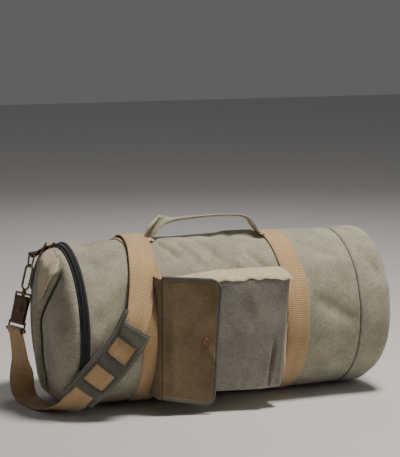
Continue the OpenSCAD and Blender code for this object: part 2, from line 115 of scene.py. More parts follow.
# ---- materials -------------------------------------------------------------------------------
class Paint:
    """A node material, built with short calls. Lengths in the nodes are metres."""

    def __init__(self, name, roughness=0.9):
        self.material = bpy.data.materials.new(name)
        self.material.use_nodes = True
        self.tree = self.material.node_tree
        self.shader = self.tree.nodes["Principled BSDF"]
        self.shader.inputs["Roughness"].default_value = roughness

    def node(self, kind, links=(), **settings):
        made = self.tree.nodes.new(kind)
        for key, value in settings.items():
            setattr(made, key, value)
        for socket, value in links:
            if isinstance(value, bpy.types.NodeSocket):
                self.tree.links.new(value, made.inputs[socket])
            else:
                made.inputs[socket].default_value = value
        return made

    def place(self):
        return self.node("ShaderNodeTexCoord").outputs["Object"]

    def flat(self):
        return self.node("ShaderNodeUVMap", uv_map="cloth").outputs["UV"]

    def speckle(self, where, size, detail=3, rough=0.6):
        return self.node("ShaderNodeTexNoise", [("Vector", where), ("Scale", 1 / size),
                         ("Detail", detail), ("Roughness", rough)]).outputs["Fac"]

    def stretch(self, where, scale):
        return self.node("ShaderNodeMapping", [("Vector", where), ("Scale", scale)]).outputs["Vector"]

    def math(self, how, a, b=0.0, c=0.0):
        return self.node("ShaderNodeMath", [(0, a), (1, b), (2, c)], operation=how).outputs[0]

    def ramp(self, value, low, high, dark, light):
        made = self.node("ShaderNodeValToRGB", [("Fac", value)])
        made.color_ramp.elements[0].position, made.color_ramp.elements[1].position = low, high
        made.color_ramp.elements[0].color = (*dark, 1)
        made.color_ramp.elements[1].color = (*light, 1)
        return made.outputs["Color"]

    def mix(self, factor, a, b, how="MIX"):
        made = self.node("ShaderNodeMix", data_type="RGBA", blend_type=how)
        for socket, value in ((0, factor), (6, a), (7, b)):
            if isinstance(value, bpy.types.NodeSocket):
                self.tree.links.new(value, made.inputs[socket])
            else:
                made.inputs[socket].default_value = value if socket == 0 else (*value[:3], 1)
        return made.outputs[2]

    def tint(self, share, colour, *ramp):
        """The colour, multiplied by a ramp."""
        return self.mix(share, colour, self.ramp(*ramp), "MULTIPLY")

    def set(self, **values):
        """Plain numbers on the shader's own sockets."""
        for name, value in values.items():
            self.shader.inputs[name.replace("_", " ")].default_value = value

    def waves(self, where, axis, pitch):
        """A row of threads across one direction of the cloth, from 0 to 1."""
        part = self.node("ShaderNodeSeparateXYZ", [(0, where)]).outputs[axis]
        turn = self.math("MULTIPLY", part, 2 * math.pi / pitch)
        return self.math("MULTIPLY_ADD", self.math("SINE", turn), 0.5, 0.5)

    def colour(self, value):
        self.tree.links.new(value, self.shader.inputs["Base Color"])

    def rough(self, value):
        self.tree.links.new(value, self.shader.inputs["Roughness"])

    def bump(self, height, depth, after=None):
        links = [("Height", height), ("Distance", depth), ("Strength", 1.0)]
        if after is not None:
            links.append(("Normal", after))
        made = self.node("ShaderNodeBump", links).outputs["Normal"]
        self.tree.links.new(made, self.shader.inputs["Normal"])
        return made


CANVAS_WARMTH = (1.05, 1.0, 0.92)


def canvas_paint(name, base, thread=0.0011, contrast=0.24):
    """Plain weave canvas: warp and weft threads, slubs, washed patches and a soft sheen."""
    paint = Paint(name, 0.92)
    base = np.array(base)
    flat = paint.flat()
    place = paint.place()
    wobble = paint.speckle(flat, 0.004, 2)
    shift = [(axis, paint.math("MULTIPLY", wobble, 0.0007)) for axis in (0, 1)]
    shift = paint.node("ShaderNodeCombineXYZ", shift).outputs[0]
    shifted = paint.node("ShaderNodeVectorMath", [(0, flat), (1, shift)], operation="ADD").outputs[0]
    warp = paint.waves(shifted, 0, thread)
    weft = paint.waves(shifted, 1, thread)
    checker = paint.math("MULTIPLY_ADD", paint.math("SUBTRACT", warp, weft), 0.35, 0.5)
    slub_u = paint.speckle(paint.stretch(flat, (1, 7, 1)), 0.012, 3)
    slub_v = paint.speckle(paint.stretch(flat, (7, 1, 1)), 0.012, 3)
    slub = paint.math("MULTIPLY_ADD", paint.math("ADD", slub_u, slub_v), 0.5, 0.0)
    patch = paint.speckle(place, 0.05, 5, 0.7)
    light = paint.ramp(patch, 0.3, 0.72, tuple(base * (1 - contrast)),
        tuple(np.minimum(base * (1 + contrast), 1)))
    tone = paint.mix(0.5, light, paint.mix(1.0, light, CANVAS_WARMTH, "MULTIPLY"))
    grain = paint.ramp(paint.speckle(flat, 0.0034, 3, 0.8), 0.36, 0.64, (0.80,) * 3, (1.16,) * 3)
    tone = paint.mix(0.9, tone, grain, "MULTIPLY")
    flecks = paint.ramp(slub, 0.40, 0.62, (0.78,) * 3, (1.12,) * 3)
    fleck_tone = paint.mix(0.9, tone, flecks, "MULTIPLY")
    weave_tone = paint.ramp(checker, 0.2, 0.8, (0.86,) * 3, (1.08,) * 3)
    paint.colour(paint.mix(0.75, fleck_tone, weave_tone, "MULTIPLY"))
    first = paint.bump(checker, 0.00022)
    paint.bump(slub, 0.0009, first)
    paint.set(Sheen_Weight=0.25, Sheen_Roughness=0.5, Specular_IOR_Level=0.25)
    return paint.material


def webbing_paint(name, base):
    """Cotton webbing: ribs across the band, a fine herringbone along it, worn lighter edges."""
    paint = Paint(name, 0.85)
    base = np.array(base)
    flat = paint.flat()
    ribs = paint.waves(flat, 0, 0.0034)
    along = paint.waves(flat, 1, 0.0014)
    worn = paint.speckle(paint.stretch(flat, (0.4, 1.4, 1)), 0.03, 4)
    tone = paint.ramp(worn, 0.3, 0.7, tuple(base * 0.84), tuple(np.minimum(base * 1.12, 1)))
    ribbed = paint.tint(0.85, tone, ribs, 0.0, 0.55, (0.66, 0.62, 0.56), (1.06,) * 3)
    paint.colour(paint.tint(0.6, ribbed, along, 0.0, 0.7, (0.88, 0.87, 0.85), (1.04,) * 3))
    first = paint.bump(ribs, 0.0005)
    paint.bump(along, 0.00015, first)
    paint.set(Sheen_Weight=0.3, Specular_IOR_Level=0.3)
    return paint.material


def leather_paint(name, base):
    """Waxed leather: pebbled grain, creases and rubbed lighter ridges."""
    paint = Paint(name, 0.45)
    base = np.array(base)
    place = paint.place()
    pebbles = paint.node("ShaderNodeTexVoronoi", [("Vector", place), ("Scale", 900.0)],
        feature="SMOOTH_F1").outputs["Distance"]
    crease = paint.speckle(place, 0.006, 5)
    rub = paint.speckle(place, 0.014, 3)
    tone = paint.ramp(rub, 0.32, 0.74, tuple(base * 0.6), tuple(base * 1.9))
    paint.colour(paint.tint(0.5, tone, crease, 0.4, 0.6, (0.7, 0.66, 0.62), (1.15, 1.1, 1.05)))
    paint.rough(paint.math("MULTIPLY_ADD", rub, 0.3, 0.28))
    first = paint.bump(pebbles, 0.00025)
    paint.bump(crease, 0.0005, first)
    return paint.material


def metal_paint(name, base, dark, tarnish=0.5, metal=1.0):
    """Antique metal: brushed body, dark tarnish in blotches, small scratches."""
    paint = Paint(name, 0.35)
    place = paint.place()
    blotch = paint.speckle(place, 0.005, 4)
    scratch = paint.speckle(paint.stretch(place, (1, 1, 12)), 0.0012, 3)
    paint.colour(paint.mix(paint.math("MULTIPLY", paint.ramp(blotch, 0.42, 0.66, (0, 0, 0), (1, 1, 1)),
        tarnish), base, dark))
    paint.rough(paint.math("MULTIPLY_ADD", blotch, 0.35, 0.16))
    paint.bump(scratch, 0.00012)
    paint.set(Metallic=metal)
    return paint.material


def zip_paint(name, base):
    """Charcoal cloth with a fine twill and a faint dusting: the zip tape, and the near-black strips of painted
    shade.
    """
    paint = Paint(name, 0.7)
    base = np.array(base)
    flat = paint.flat()
    twill = paint.waves(flat, 0, 0.0012)
    dust = paint.speckle(paint.place(), 0.02, 4)
    tone = paint.ramp(dust, 0.4, 0.75, tuple(base), tuple(base * 2.4))
    paint.colour(paint.tint(0.6, tone, twill, 0, 0.8, (0.6,) * 3, (1.1,) * 3))
    paint.bump(twill, 0.0002)
    return paint.material


def plastic_paint(name, base):
    """Nylon coil: smooth, slightly glossy, scuffed."""
    paint = Paint(name, 0.4)
    base = np.array(base)
    scuff = paint.speckle(paint.place(), 0.004, 4)
    paint.colour(paint.ramp(scuff, 0.35, 0.75, tuple(base), tuple(base * 1.9)))
    paint.rough(paint.math("MULTIPLY_ADD", scuff, 0.3, 0.3))
    paint.bump(scuff, 0.0001)
    return paint.material


def thread_paint(name, base):
    """Sewing thread: a tight two-ply twist."""
    paint = Paint(name, 0.75)
    base = np.array(base)
    ply = paint.speckle(paint.place(), 0.0011, 2)
    paint.colour(paint.ramp(ply, 0.35, 0.65, tuple(base * 0.7), tuple(np.minimum(base * 1.15, 1))))
    paint.bump(ply, 0.0002)
    return paint.material


PAINTS = {
    "canvas": canvas_paint("canvas", (0.352, 0.338, 0.262)),
    "lining": canvas_paint("lining", (0.30, 0.29, 0.25)),
    "pocket_canvas": canvas_paint("pocket_canvas", (0.262, 0.248, 0.212), contrast=0.22),
    "cream_canvas": canvas_paint("cream_canvas", (0.62, 0.53, 0.375), contrast=0.14),
    "khaki_canvas": canvas_paint("khaki_canvas", (0.185, 0.133, 0.074), thread=0.0009, contrast=0.2),
    "pad_canvas": canvas_paint("pad_canvas", (0.125, 0.120, 0.100), contrast=0.16),
    "webbing": webbing_paint("webbing", (0.565, 0.372, 0.195)),
    "zip_tape": zip_paint("zip_tape", (0.018, 0.018, 0.02)),
    "zip_teeth": plastic_paint("zip_teeth", (0.022, 0.022, 0.024)),
    "leather": leather_paint("leather", (0.100, 0.054, 0.027)),
    "tab_leather": leather_paint("tab_leather", (0.050, 0.014, 0.010)),
    "snap_brown": metal_paint("snap_brown", (0.19, 0.095, 0.048), (0.10, 0.045, 0.022), 0.5, 0.35),
    "brass": metal_paint("brass", (0.40, 0.28, 0.14), (0.09, 0.06, 0.035), 0.75),
    # painted shade: seam_shadow is a near-black cloth for the strips that stand in for shade in creases and beside
    # seams
    "seam_shadow": zip_paint("seam_shadow", (0.045, 0.042, 0.035)),
}
PAINTS["thread_grey"] = thread_paint("thread_grey", (0.42, 0.41, 0.35))
PAINTS["thread_tan"] = thread_paint("thread_tan", (0.55, 0.42, 0.26))
PAINTS["thread_dark"] = thread_paint("thread_dark", (0.08, 0.07, 0.055))


# ---- mesh helpers ----------------------------------------------------------------------------
def add_mesh(name, points, faces, uv, paints, away_from=None):
    """A smooth mesh; uv holds a pair for each face corner. Faces look away from away_from."""
    mesh = bpy.data.meshes.new(name)
    mesh.from_pydata(np.asarray(points, float).tolist(), [], faces)
    layer = mesh.uv_layers.new(name="cloth")
    layer.data.foreach_set("uv", np.asarray(uv, np.float32).ravel())
    mesh.polygons.foreach_set("use_smooth", [True] * len(faces))
    for paint in paints:
        mesh.materials.append(PAINTS[paint])
    mesh.update()
    if away_from is not None:
        centres = np.array([p.center for p in mesh.polygons])
        normals = np.array([p.normal for p in mesh.polygons])
        if np.sum(normals * (centres - np.array(away_from(centres)))) < 0:
            mesh.flip_normals()
    piece = bpy.data.objects.new(name, mesh)
    bpy.context.collection.objects.link(piece)
    return piece


def add_grid(name, P, UV, paints, wrap=False, away_from=None):
    """A sheet from rows of points P[i, j] and their cloth places UV[i, j]; wrap closes it along j."""
    rows, cols = P.shape[:2]
    if wrap and UV.shape[1] == cols:
        UV = np.concatenate([UV, UV[:, :1]], 1)
    faces, corners = [], []
    for i in range(rows - 1):
        for j in range(cols if wrap else cols - 1):
            k = (j + 1) % cols
            faces.append((i * cols + j, i * cols + k, (i + 1) * cols + k, (i + 1) * cols + j))
            corners += [UV[i, j], UV[i, j + 1], UV[i + 1, j + 1], UV[i + 1, j]]
    return add_mesh(name, P.reshape(-1, 3), faces, corners, paints, away_from)


def tube(run, places, closed=False):
    """Faces and cloth places of a tube: one ring for each value of run, one point for each place."""
    rings, count = len(run), len(places)
    faces, corners = [], []
    for i in range(rings if closed else rings - 1):
        n = (i + 1) % rings
        u0, u1 = run[i], run[i + 1] if i + 1 < rings else run[i] + run[1]
        for j in range(count):
            k = (j + 1) % count
            faces.append((i * count + j, i * count + k, n * count + k, n * count + j))
            corners += [(u0, places[j]), (u0, places[k]), (u1, places[k]), (u1, places[j])]
    if not closed:
        for i in (0, rings - 1):
            faces.append(tuple(i * count + j for j in range(count)))
            corners += [(run[i], place) for place in places]
    return faces, corners


def bead(base, rings, count):
    """Faces and cloth places of a small tube, closed at both ends, that starts at point base."""
    faces, corners = [], []
    for i in range(rings - 1):
        for j in range(count):
            a, b = base + i * count + j, base + i * count + (j + 1) % count
            faces.append((a, b, b + count, a + count))
            corners += [(0, 0), (0, 0.001), (0.001, 0.001), (0.001, 0)]
    for i in (0, rings - 1):
        faces.append(tuple(base + i * count + j for j in range(count)))
        corners += [(0, 0)] * count
    return faces, corners


def facing(x, y, z):
    """For add_grid: the faces look towards this direction."""
    return lambda centres: centres - np.array([x, y, z])


def unit(vectors):
    return vectors / np.linalg.norm(vectors, axis=-1, keepdims=True)


def rows_of(vector, count):
    return np.tile(vector, (count, 1))


def net(a, b):
    return np.meshgrid(a, b, indexing="ij")


def spread(*columns):
    """Points, or cloth places, from one array or number for each coordinate."""
    return np.stack(np.broadcast_arrays(*columns), -1)


def oval(a, b, count):
    return np.array([(a * math.cos(t), b * math.sin(t)) for t in ring_angles(count)])


def ring_angles(count):
    return np.linspace(0, 2 * math.pi, count, endpoint=False)


def apply_all(piece):
    bpy.ops.object.select_all(action="DESELECT")
    piece.select_set(True)
    bpy.context.view_layer.objects.active = piece
    for modifier in list(piece.modifiers):
        bpy.ops.object.modifier_apply(modifier=modifier.name)
    return piece


def thicken(piece, thickness, offset=-1.0, inner_slot=0):
    modifier = piece.modifiers.new("thick", "SOLIDIFY")
    modifier.thickness, modifier.offset = thickness, offset
    modifier.material_offset = inner_slot
    modifier.material_offset_rim = 0
    modifier.use_even_offset = False
    return apply_all(piece)


def close_up(piece):
    """Welds a closed mesh and turns its faces outward."""
    built = bmesh.new()
    built.from_mesh(piece.data)
    bmesh.ops.remove_doubles(built, verts=built.verts, dist=1e-6)
    bmesh.ops.recalc_face_normals(built, faces=built.faces)
    built.to_mesh(piece.data)
    built.free()
    return piece


def joined(name, pieces):
    bpy.ops.object.select_all(action="DESELECT")
    for piece in pieces:
        piece.select_set(True)
    bpy.context.view_layer.objects.active = pieces[0]
    if len(pieces) > 1:
        bpy.ops.object.join()
    pieces[0].name = name
    return pieces[0]


def smooth_step(a, b, x):
    t = np.clip((np.asarray(x, float) - a) / (b - a), 0, 1)
    return t * t * (3 - 2 * t)


def bell(x, centre, width):
    return np.exp(-((np.asarray(x, float) - centre) / width) ** 2)


def ripple(seed, size, count=9):
    """A smooth random field over space, about -1 to 1, with lumps of roughly the given size."""
    rng = np.random.default_rng(seed)
    ways = rng.normal(size=(count, 3))
    ways *= (2 * math.pi / size) * rng.uniform(0.35, 0.8, (count, 1)) / np.linalg.norm(ways, axis=1)[:,
        None]
    phases = rng.uniform(0, 2 * math.pi, count)
    return lambda P: np.sin(np.asarray(P) @ ways.T + phases).sum(-1) / math.sqrt(count)


def press_down(z, soft=0.004, floor=0.0006):
    """Cloth that would pass below the floor is pressed flat on it."""
    return floor + soft * np.logaddexp(0, np.asarray(z, float) / soft)


def around(x, phi, r):
    """A point of the barrel; phi is 0 at the top and grows towards the pocket."""
    x, phi, r = np.broadcast_arrays(x, phi, r)
    return spread(x, -r * np.sin(phi), AXIS_Z + r * np.cos(phi))


def tapered(count, ends, least):
    """Scales for a strip that thins out over this many rows at both ends."""
    return np.clip(np.minimum(np.arange(count), count - 1 - np.arange(count)) / ends, least, 1)


def box_line(x0, x1, y0, y1, count):
    """Two arrays that run once round a rectangle."""
    t = np.linspace(0, 4, count)
    return np.interp(t, range(5), [x0, x1, x1, x0, x0]), np.interp(t, range(5), [y0, y0, y1, y1, y0])


def outwards(phi):
    return around(0.0, phi, 1.0) - np.array([0, 0, AXIS_Z])


def pressed(P, *how):
    P[..., 2] = press_down(P[..., 2], *how)
    return P


def spline(rows, u):
    """Catmull-Rom curve through rows, the same one that the CAD strap follows."""
    rows = np.asarray(rows, float)
    i = np.minimum(np.floor(u).astype(int), len(rows) - 2)
    t = (u - i)[:, None]
    a, b, c, d = (rows[np.clip(i + k, 0, len(rows) - 1)] for k in (-1, 0, 1, 2))
    return 0.5 * (2 * b + (c - a) * t + (2 * a - 5 * b + 4 * c - d) * t * t
        + (3 * b - a - 3 * c + d) * t ** 3)


def path_frames(rows, u):
    """Places, headings, widths and normals along a path of [x, y, z, width direction] rows."""
    at = spline(rows, u)
    ahead, behind = spline(rows, np.minimum(u + 0.01, len(rows) - 1)), spline(rows, np.maximum(u - 0.01, 0))
    heading = ahead[:, :3] - behind[:, :3]
    heading = unit(heading)
    width = at[:, 3:6] - (at[:, 3:6] * heading).sum(1)[:, None] * heading
    width = unit(width)
    return at[:, :3], heading, width, np.cross(heading, width)


def run_length(points):
    return np.concatenate([[0], np.cumsum(np.linalg.norm(np.diff(points, axis=0), axis=1))])


def strip_loop(half, thick, corner=0.45, across=8):
    """Outline of a flat strip's cut end: pairs across and along the normal, with rounded edges."""
    flat = np.linspace(-1, 1, across)
    top = [(half * s * 0.97, thick / 2 * (1 - corner * abs(s) ** 8)) for s in flat]
    edge = [(half, thick * 0.12), (half, -thick * 0.12)]
    under = [(half * s * 0.97, -thick / 2 * (1 - corner * abs(s) ** 8)) for s in flat[::-1]]
    return np.array(top + edge + under + [(-half, -thick * 0.12), (-half, thick * 0.12)])


def sweep(name, centres, width, normal, loop, paint, scale=None, closed=False):
    """A closed solid: the loop carried along the path. The cloth's u runs along it and v across."""
    scale = np.ones(len(centres)) if scale is None else np.asarray(scale)
    P = (centres[:, None] + width[:, None] * (loop[None, :, :1] * scale[:, None, None])
         + normal[:, None] * loop[None, :, 1:])
    faces, corners = tube(run_length(centres), loop[:, 0], closed)
    return close_up(add_mesh(name, P.reshape(-1, 3), faces, corners, [paint]))


# pitch, length and thread radius of finer sewing
FINE = (0.0034, 0.0024, 0.00034)
FINEST = (0.0034, 0.0023, 0.00034)
MEDIUM = (0.0036, 0.0025, 0.00036)


def stitches(name, places, normals, paint, pitch=0.0042, length=0.0028, radius=0.00042, lift=0.0001):
    """A row of sewing: one small rounded thread at every pitch along the path."""
    run = run_length(places)
    count = max(2, int(run[-1] / pitch))
    at = (np.arange(count) + 0.5) * run[-1] / count
    pick = lambda values, s: spread(*[np.interp(s, run, values[:, k]) for k in range(3)])
    a, b = pick(places, at - length / 2), pick(places, at + length / 2)
    n = pick(normals, at)
    n = unit(n)
    t = b - a
    t = unit(t)
    side = np.cross(t, n)
    turns = np.linspace(0, 2 * math.pi, 6, endpoint=False)
    points, faces, corners = [], [], []
    for k in range(count):
        base = len(points)
        mid = (a[k] + b[k]) / 2
        stations = ((a[k], 0.35, -0.5), ((a[k] + mid) / 2, 1, 0.35), (mid, 1.05, 0.5),
            ((b[k] + mid) / 2, 1, 0.35), (b[k], 0.35, -0.5))
        for centre, size, up in stations:
            for turn in turns:
                points.append(centre + n[k] * (lift + radius * up)
                    + radius * size * (side[k] * math.cos(turn) + n[k] * math.sin(turn)))
        more = bead(base, 5, 6)
        faces += more[0]
        corners += more[1]
    return close_up(add_mesh(name, points, faces, corners, [paint]))


def dress(piece, body, slot, *nodes, across=None):
    """The piece rides a body, or, with across given, only has its transform baked where it stands; the nodes'
    parts are hidden. slot is not used.
    """
    if across is None:
        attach(piece, body)
    else:
        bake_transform(piece)
    if nodes:
        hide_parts(*nodes)
    return piece


# ---- the barrel ------------------------------------------------------------------------------
# Soft folds of the barrel: from and to (x along the bag, arc from the top towards the pocket),
# half width and height, all in metres. Negative heights are hollows.
FOLDS = [
    ((0.026, 0.014), (0.090, 0.030), 0.009, -0.0056),
    ((0.020, -0.016), (0.092, -0.006), 0.010, 0.0026),
    ((-0.010, 0.060), (0.050, 0.024), 0.013, 0.0022),
    ((-0.055, 0.018), (-0.022, 0.098), 0.011, -0.0030),
    ((-0.085, 0.030), (-0.055, 0.100), 0.010, 0.0018),
    ((-0.126, 0.026), (-0.100, 0.088), 0.009, -0.0032),
    ((0.030, 0.080), (0.064, 0.128), 0.010, -0.0022),
    ((0.000, 0.100), (0.030, 0.132), 0.009, 0.0014),
    ((-0.212, 0.070), (-0.268, 0.104), 0.014, -0.0020),
    ((-0.215, 0.150), (-0.275, 0.215), 0.016, -0.0026),
    ((-0.230, 0.235), (-0.285, 0.290), 0.016, 0.0024),
    ((0.142, 0.060), (0.205, 0.110), 0.014, -0.0018),
    ((0.150, 0.190), (0.225, 0.240), 0.016, -0.0020),
    ((0.250, 0.080), (0.280, 0.160), 0.012, -0.0020),
    ((-0.060, -0.060), (0.040, -0.120), 0.014, -0.0024),
    ((-0.120, -0.080), (-0.090, -0.190), 0.014, 0.0020),
    ((0.150, -0.090), (0.215, -0.170), 0.015, -0.0022),
    ((-0.225, -0.060), (-0.270, -0.150), 0.014, -0.0022),
    ((-0.02, 0.0), (0.03, 0.06), 0.012, -0.0012),
]
FOLD_DEPTH = 2.6          # the heights above are multiplied by this
BIG_LUMPS, SMALL_LUMPS, CREASES = ripple(3, 0.20), ripple(4, 0.07), ripple(5, 0.026)


def fold_relief(x, s):
    total = np.zeros(np.broadcast(x, s).shape)
    for (x0, s0), (x1, s1), width, height in FOLDS:
        dx, ds = x1 - x0, s1 - s0
        length = math.hypot(dx, ds)
        along = ((x - x0) * dx + (s - s0) * ds) / length ** 2
        off = ((x - x0) * ds - (s - s0) * dx) / length
        fold = FOLD_DEPTH * height * np.exp(-(off / width * 1.15) ** 2)
        total += fold * smooth_step(-0.25, 0.25, along) * (1 - smooth_step(0.75, 1.25, along))
    return total


def barrel_radius(x, phi):
    """Outer radius of the canvas with its sag, folds and seams."""
    place = around(x, phi, BODY_R)
    relief = 0.0020 * BIG_LUMPS(place) + 0.0010 * SMALL_LUMPS(place) + 0.00035 * CREASES(place)
    relief = relief + fold_relief(x, BODY_R * phi)
    quiet = np.ones(np.shape(relief))
    for centre in BAND_X:
        off = np.abs(x - centre)
        relief = relief - 0.0012 * np.exp(-((off - 0.028) / 0.009) ** 2)
        quiet = quiet * smooth_step(BAND_W / 2 - 0.004, BAND_W / 2 + 0.012, off)
    quiet = quiet * smooth_step(0.0, 0.014, np.abs(x - RIM_X))
    relief = relief * quiet - 0.0004 * (1 - quiet)
    relief = relief - 0.0017 * bell(x, SEAM_X, 0.0022) + 0.0010 * smooth_step(SEAM_X, SEAM_X + 0.002, x)
    return BODY_R + np.clip(relief, -0.0095, 0.0050)


END_TURN = 0.026
END_FLAT = BODY_HALF - END_TURN


def barrel_point(x, phi, lift=0.0, soft=0.004, floor=0.0008):
    return pressed(around(x, phi, barrel_radius(x, phi) + lift), soft, floor)


def end_slump(P, phi):
    """The base end leans in a little at the top and underneath."""
    share = smooth_step(0.236, 0.30, P[..., 0])
    ends = np.where(np.cos(phi) > 0, -0.005, 0.012) * np.cos(phi) ** 2
    P[..., 0] = P[..., 0] - share * (ends - 0.002 * np.sin(phi) ** 2)
    return P


def add_barrel():
    turns = 288
    phi = np.linspace(-math.pi, math.pi, turns, endpoint=False)
    xs = np.concatenate([np.linspace(RIM_X, SEAM_X - 0.006, 150),
        np.linspace(SEAM_X - 0.005, SEAM_X + 0.005, 11),
                         np.linspace(SEAM_X + 0.006, END_FLAT, 10)])
    X, PHI = net(xs, phi)
    P = barrel_point(X, PHI)
    bend = np.linspace(0, math.pi / 2, 14)[1:]
    A, PHI2 = net(bend, phi)
    r = barrel_radius(np.full(A.shape, END_FLAT), PHI2) - END_TURN * (1 - np.cos(A))
    P = np.concatenate([P, pressed(around(END_FLAT + END_TURN * np.sin(A), PHI2, r))])
    angles = np.concatenate([phi, [math.pi]])
    run = np.concatenate([xs, END_FLAT + END_TURN * bend])
    UV = np.stack(net(run, angles * BODY_R), -1)
    P = end_slump(P, np.broadcast_to(phi, P.shape[:2]))
    shell = add_grid("barrel_canvas", P, UV, ["canvas", "lining"], wrap=True,
                     away_from=lambda c: spread(c[:, 0] * 0.8, 0.0, AXIS_Z))
    thicken(shell, 0.0022, -1.0, 1)
    dress(shell, "bag", "canvas", "body_tube", "base_sleeve")

    # the base panel, sewn inside the turn with a piped seam
    edge = BODY_R - END_TURN
    radii = np.linspace(1.0, 0.0, 34)
    R, PHI3 = net(radii, phi)
    disc = around(BODY_HALF - 0.0004 + 0.005 * (1 - R ** 2), PHI3, edge * R)
    disc[..., 0] += 0.0016 * SMALL_LUMPS(disc) * (1 - R ** 4) + 0.0022 * BIG_LUMPS(disc * 1.3) * (1 - R ** 4)
    disc = end_slump(disc, PHI3)
    UVd = spread(disc[..., 1], disc[..., 2])
    panel = add_grid("base_panel_canvas", disc, UVd, ["canvas", "lining"], wrap=True,
                     away_from=facing(1, 0, 0))
    thicken(panel, 0.0022, -1.0, 1)
    dress(panel, "bag", "canvas", "base_panel")
    ring = end_slump(around(np.full(turns, BODY_HALF + 0.0002), phi, np.full(turns, edge)), phi)
    outward = outwards(phi)
    loop = oval(0.0021, 0.0021, 10)
    piping = sweep("base_piping", ring, rows_of([1.0, 0, 0], turns), outward, loop, "pocket_canvas",
        closed=True)
    dress(piping, "bag", "pocket_canvas")

    # painted shade: a near-black strip beside the far band, towards the pocket, where the canvas dips away into
    # shade
    arc = np.linspace(-0.9, 1.25, 120)
    edge = barrel_point(np.full(120, BAND_X[1] - BAND_W / 2 - 0.0012), arc, 0.0005)
    up = outwards(arc)
    dress(sweep("band_dip_shade", edge, rows_of([1.0, 0, 0], 120), up, oval(0.0011, 0.0006, 8), "seam_shadow"),
        "bag", "canvas")

    # painted shade: a near-black strip along the lap of the sleeve seam, then two rows of sewing beside it
    loop = oval(0.0011, 0.0007, 8)
    lap = end_slump(barrel_point(np.full(turns, SEAM_X), phi, 0.0004), phi)
    dress(sweep("sleeve_lap_shade", lap, rows_of([1.0, 0, 0], turns), outward, loop, "seam_shadow", closed=True),
        "bag", "pocket_canvas")
    rows = []
    for x in (SEAM_X + 0.0032, SEAM_X + 0.0075):
        P = end_slump(barrel_point(np.full(turns + 1, x), angles, 0.0), angles)
        rows.append(stitches("row", P, outward[np.r_[0:turns, 0]], "thread_grey"))
    dress(joined("sleeve_stitching", rows), "bag", "canvas")


# ---- the webbing bands -----------------------------------------------------------------------
def add_bands():
    turns = 240
    phi = np.linspace(-math.pi, math.pi, turns, endpoint=False)
    outward = outwards(phi)
    for name, centre, node in (("left", BAND_X[0], "band_left"), ("right", BAND_X[1], "band_right")):
        P = around(np.full(turns, centre), phi, np.full(turns, BODY_R + 0.00115))
        P[:, 2] = press_down(P[:, 2], 0.002, 0.0010)
        P[:, 0] += 0.0009 * np.sin(3 * phi + centre * 40) + 0.0006 * np.sin(7 * phi)
        band = sweep(f"band_{name}_webbing", P, rows_of([1.0, 0, 0], turns), outward,
                     strip_loop(BAND_W / 2, 0.0022, 0.5, 12), "webbing", closed=True)
        dress(band, "bag", "webbing", node)
        rows = []
        for side in (-1, 1):
            places = P + np.array([side * (BAND_W / 2 - 0.0035), 0, 0]) + outward * 0.0010
            rows.append(stitches("row", np.concatenate([places, places[:1]]),
                np.concatenate([outward, outward[:1]]), "thread_tan"))
        dress(joined(f"band_{name}_stitching", rows), "bag", "webbing")


# ---- the zipped end --------------------------------------------------------------------------
RIM_MID = np.array([(RIM_X + LIP_X) / 2, (BODY_R + LIP_R) / 2])
RIM_ALONG = np.array([LIP_X - RIM_X, LIP_R - BODY_R])
RIM_ALONG /= np.linalg.norm(RIM_ALONG)
RIM_OUT = np.array([RIM_ALONG[1], -RIM_ALONG[0]])
RIM_HALF = math.hypot(BODY_R - LIP_R, RIM_X - LIP_X) / 2
ZIP_FROM = -math.asin(ZIP_END_Y / ZIP_R)
ZIP_TO = math.pi - ZIP_FROM
LID_BLEND = ((-0.336, 0.060, AXIS_Z), (-0.336, 0.031, AXIS_Z))


def rim_point(s, lift, phi):
    """A place on the sloping rim: s runs from the barrel's side to the lid's side."""
    s, lift, phi = np.broadcast_arrays(s, lift, phi)
    x = RIM_MID[0] + RIM_ALONG[0] * s + RIM_OUT[0] * lift
    r = RIM_MID[1] + RIM_ALONG[1] * s + RIM_OUT[1] * lift
    return pressed(around(x, phi, r), 0.002, 0.0008)


def crease_y(z):
    """Where the lid's crease runs: down from the rim, back under the facing, then nearly straight."""
    foot = -0.010 * smooth_step(0.090, 0.010, z)
    sweep_back = -0.088 * smooth_step(0.138, 0.268, z)
    rim_return = 0.032 * smooth_step(0.252, 0.292, z)
    return 0.014 + foot + sweep_back + rim_return


def dome_depth(y, z):
    r = np.clip(np.hypot(y, z - AXIS_Z) / LIP_R, 0, 1)
    base = DOME * (1 - r ** 2.5) ** (1 / 2.5)
    here = spread(0 * y, y, z)
    rim_fade = 1 - smooth_step(0.84, 0.99, r)
    off = y - crease_y(z)
    proud = 0.0062 * smooth_step(-0.0022, 0.0022, off) * (1 - smooth_step(0.030, 0.052, y))
    gap = -0.0110 * bell(off, -0.0040, 0.0046) * smooth_step(0.016, 0.060, z)
    slope = -0.0045 * bell(off, -0.022, 0.018)
    belly = 0.0015 * bell(y, -0.085, 0.045) * bell(z, 0.135, 0.09)
    below = smooth_step(0.205, 0.170, z)
    ridge = 0.0030 * bell(off, 0.0085, 0.0035) * below - 0.0026 * bell(off, 0.0145, 0.003) * below
    lumps = 0.0012 * SMALL_LUMPS(here) + 0.0005 * CREASES(here)
    quiet = 1 - smooth_step(0.040, 0.055, y)
    return base + rim_fade * ((proud + gap + slope + belly + ridge) * quiet + lumps * (0.25 + 0.75 * quiet))


def dome_point(y, z, lift=0.0):
    return spread(LIP_X - dome_depth(y, z) - lift, y, z)


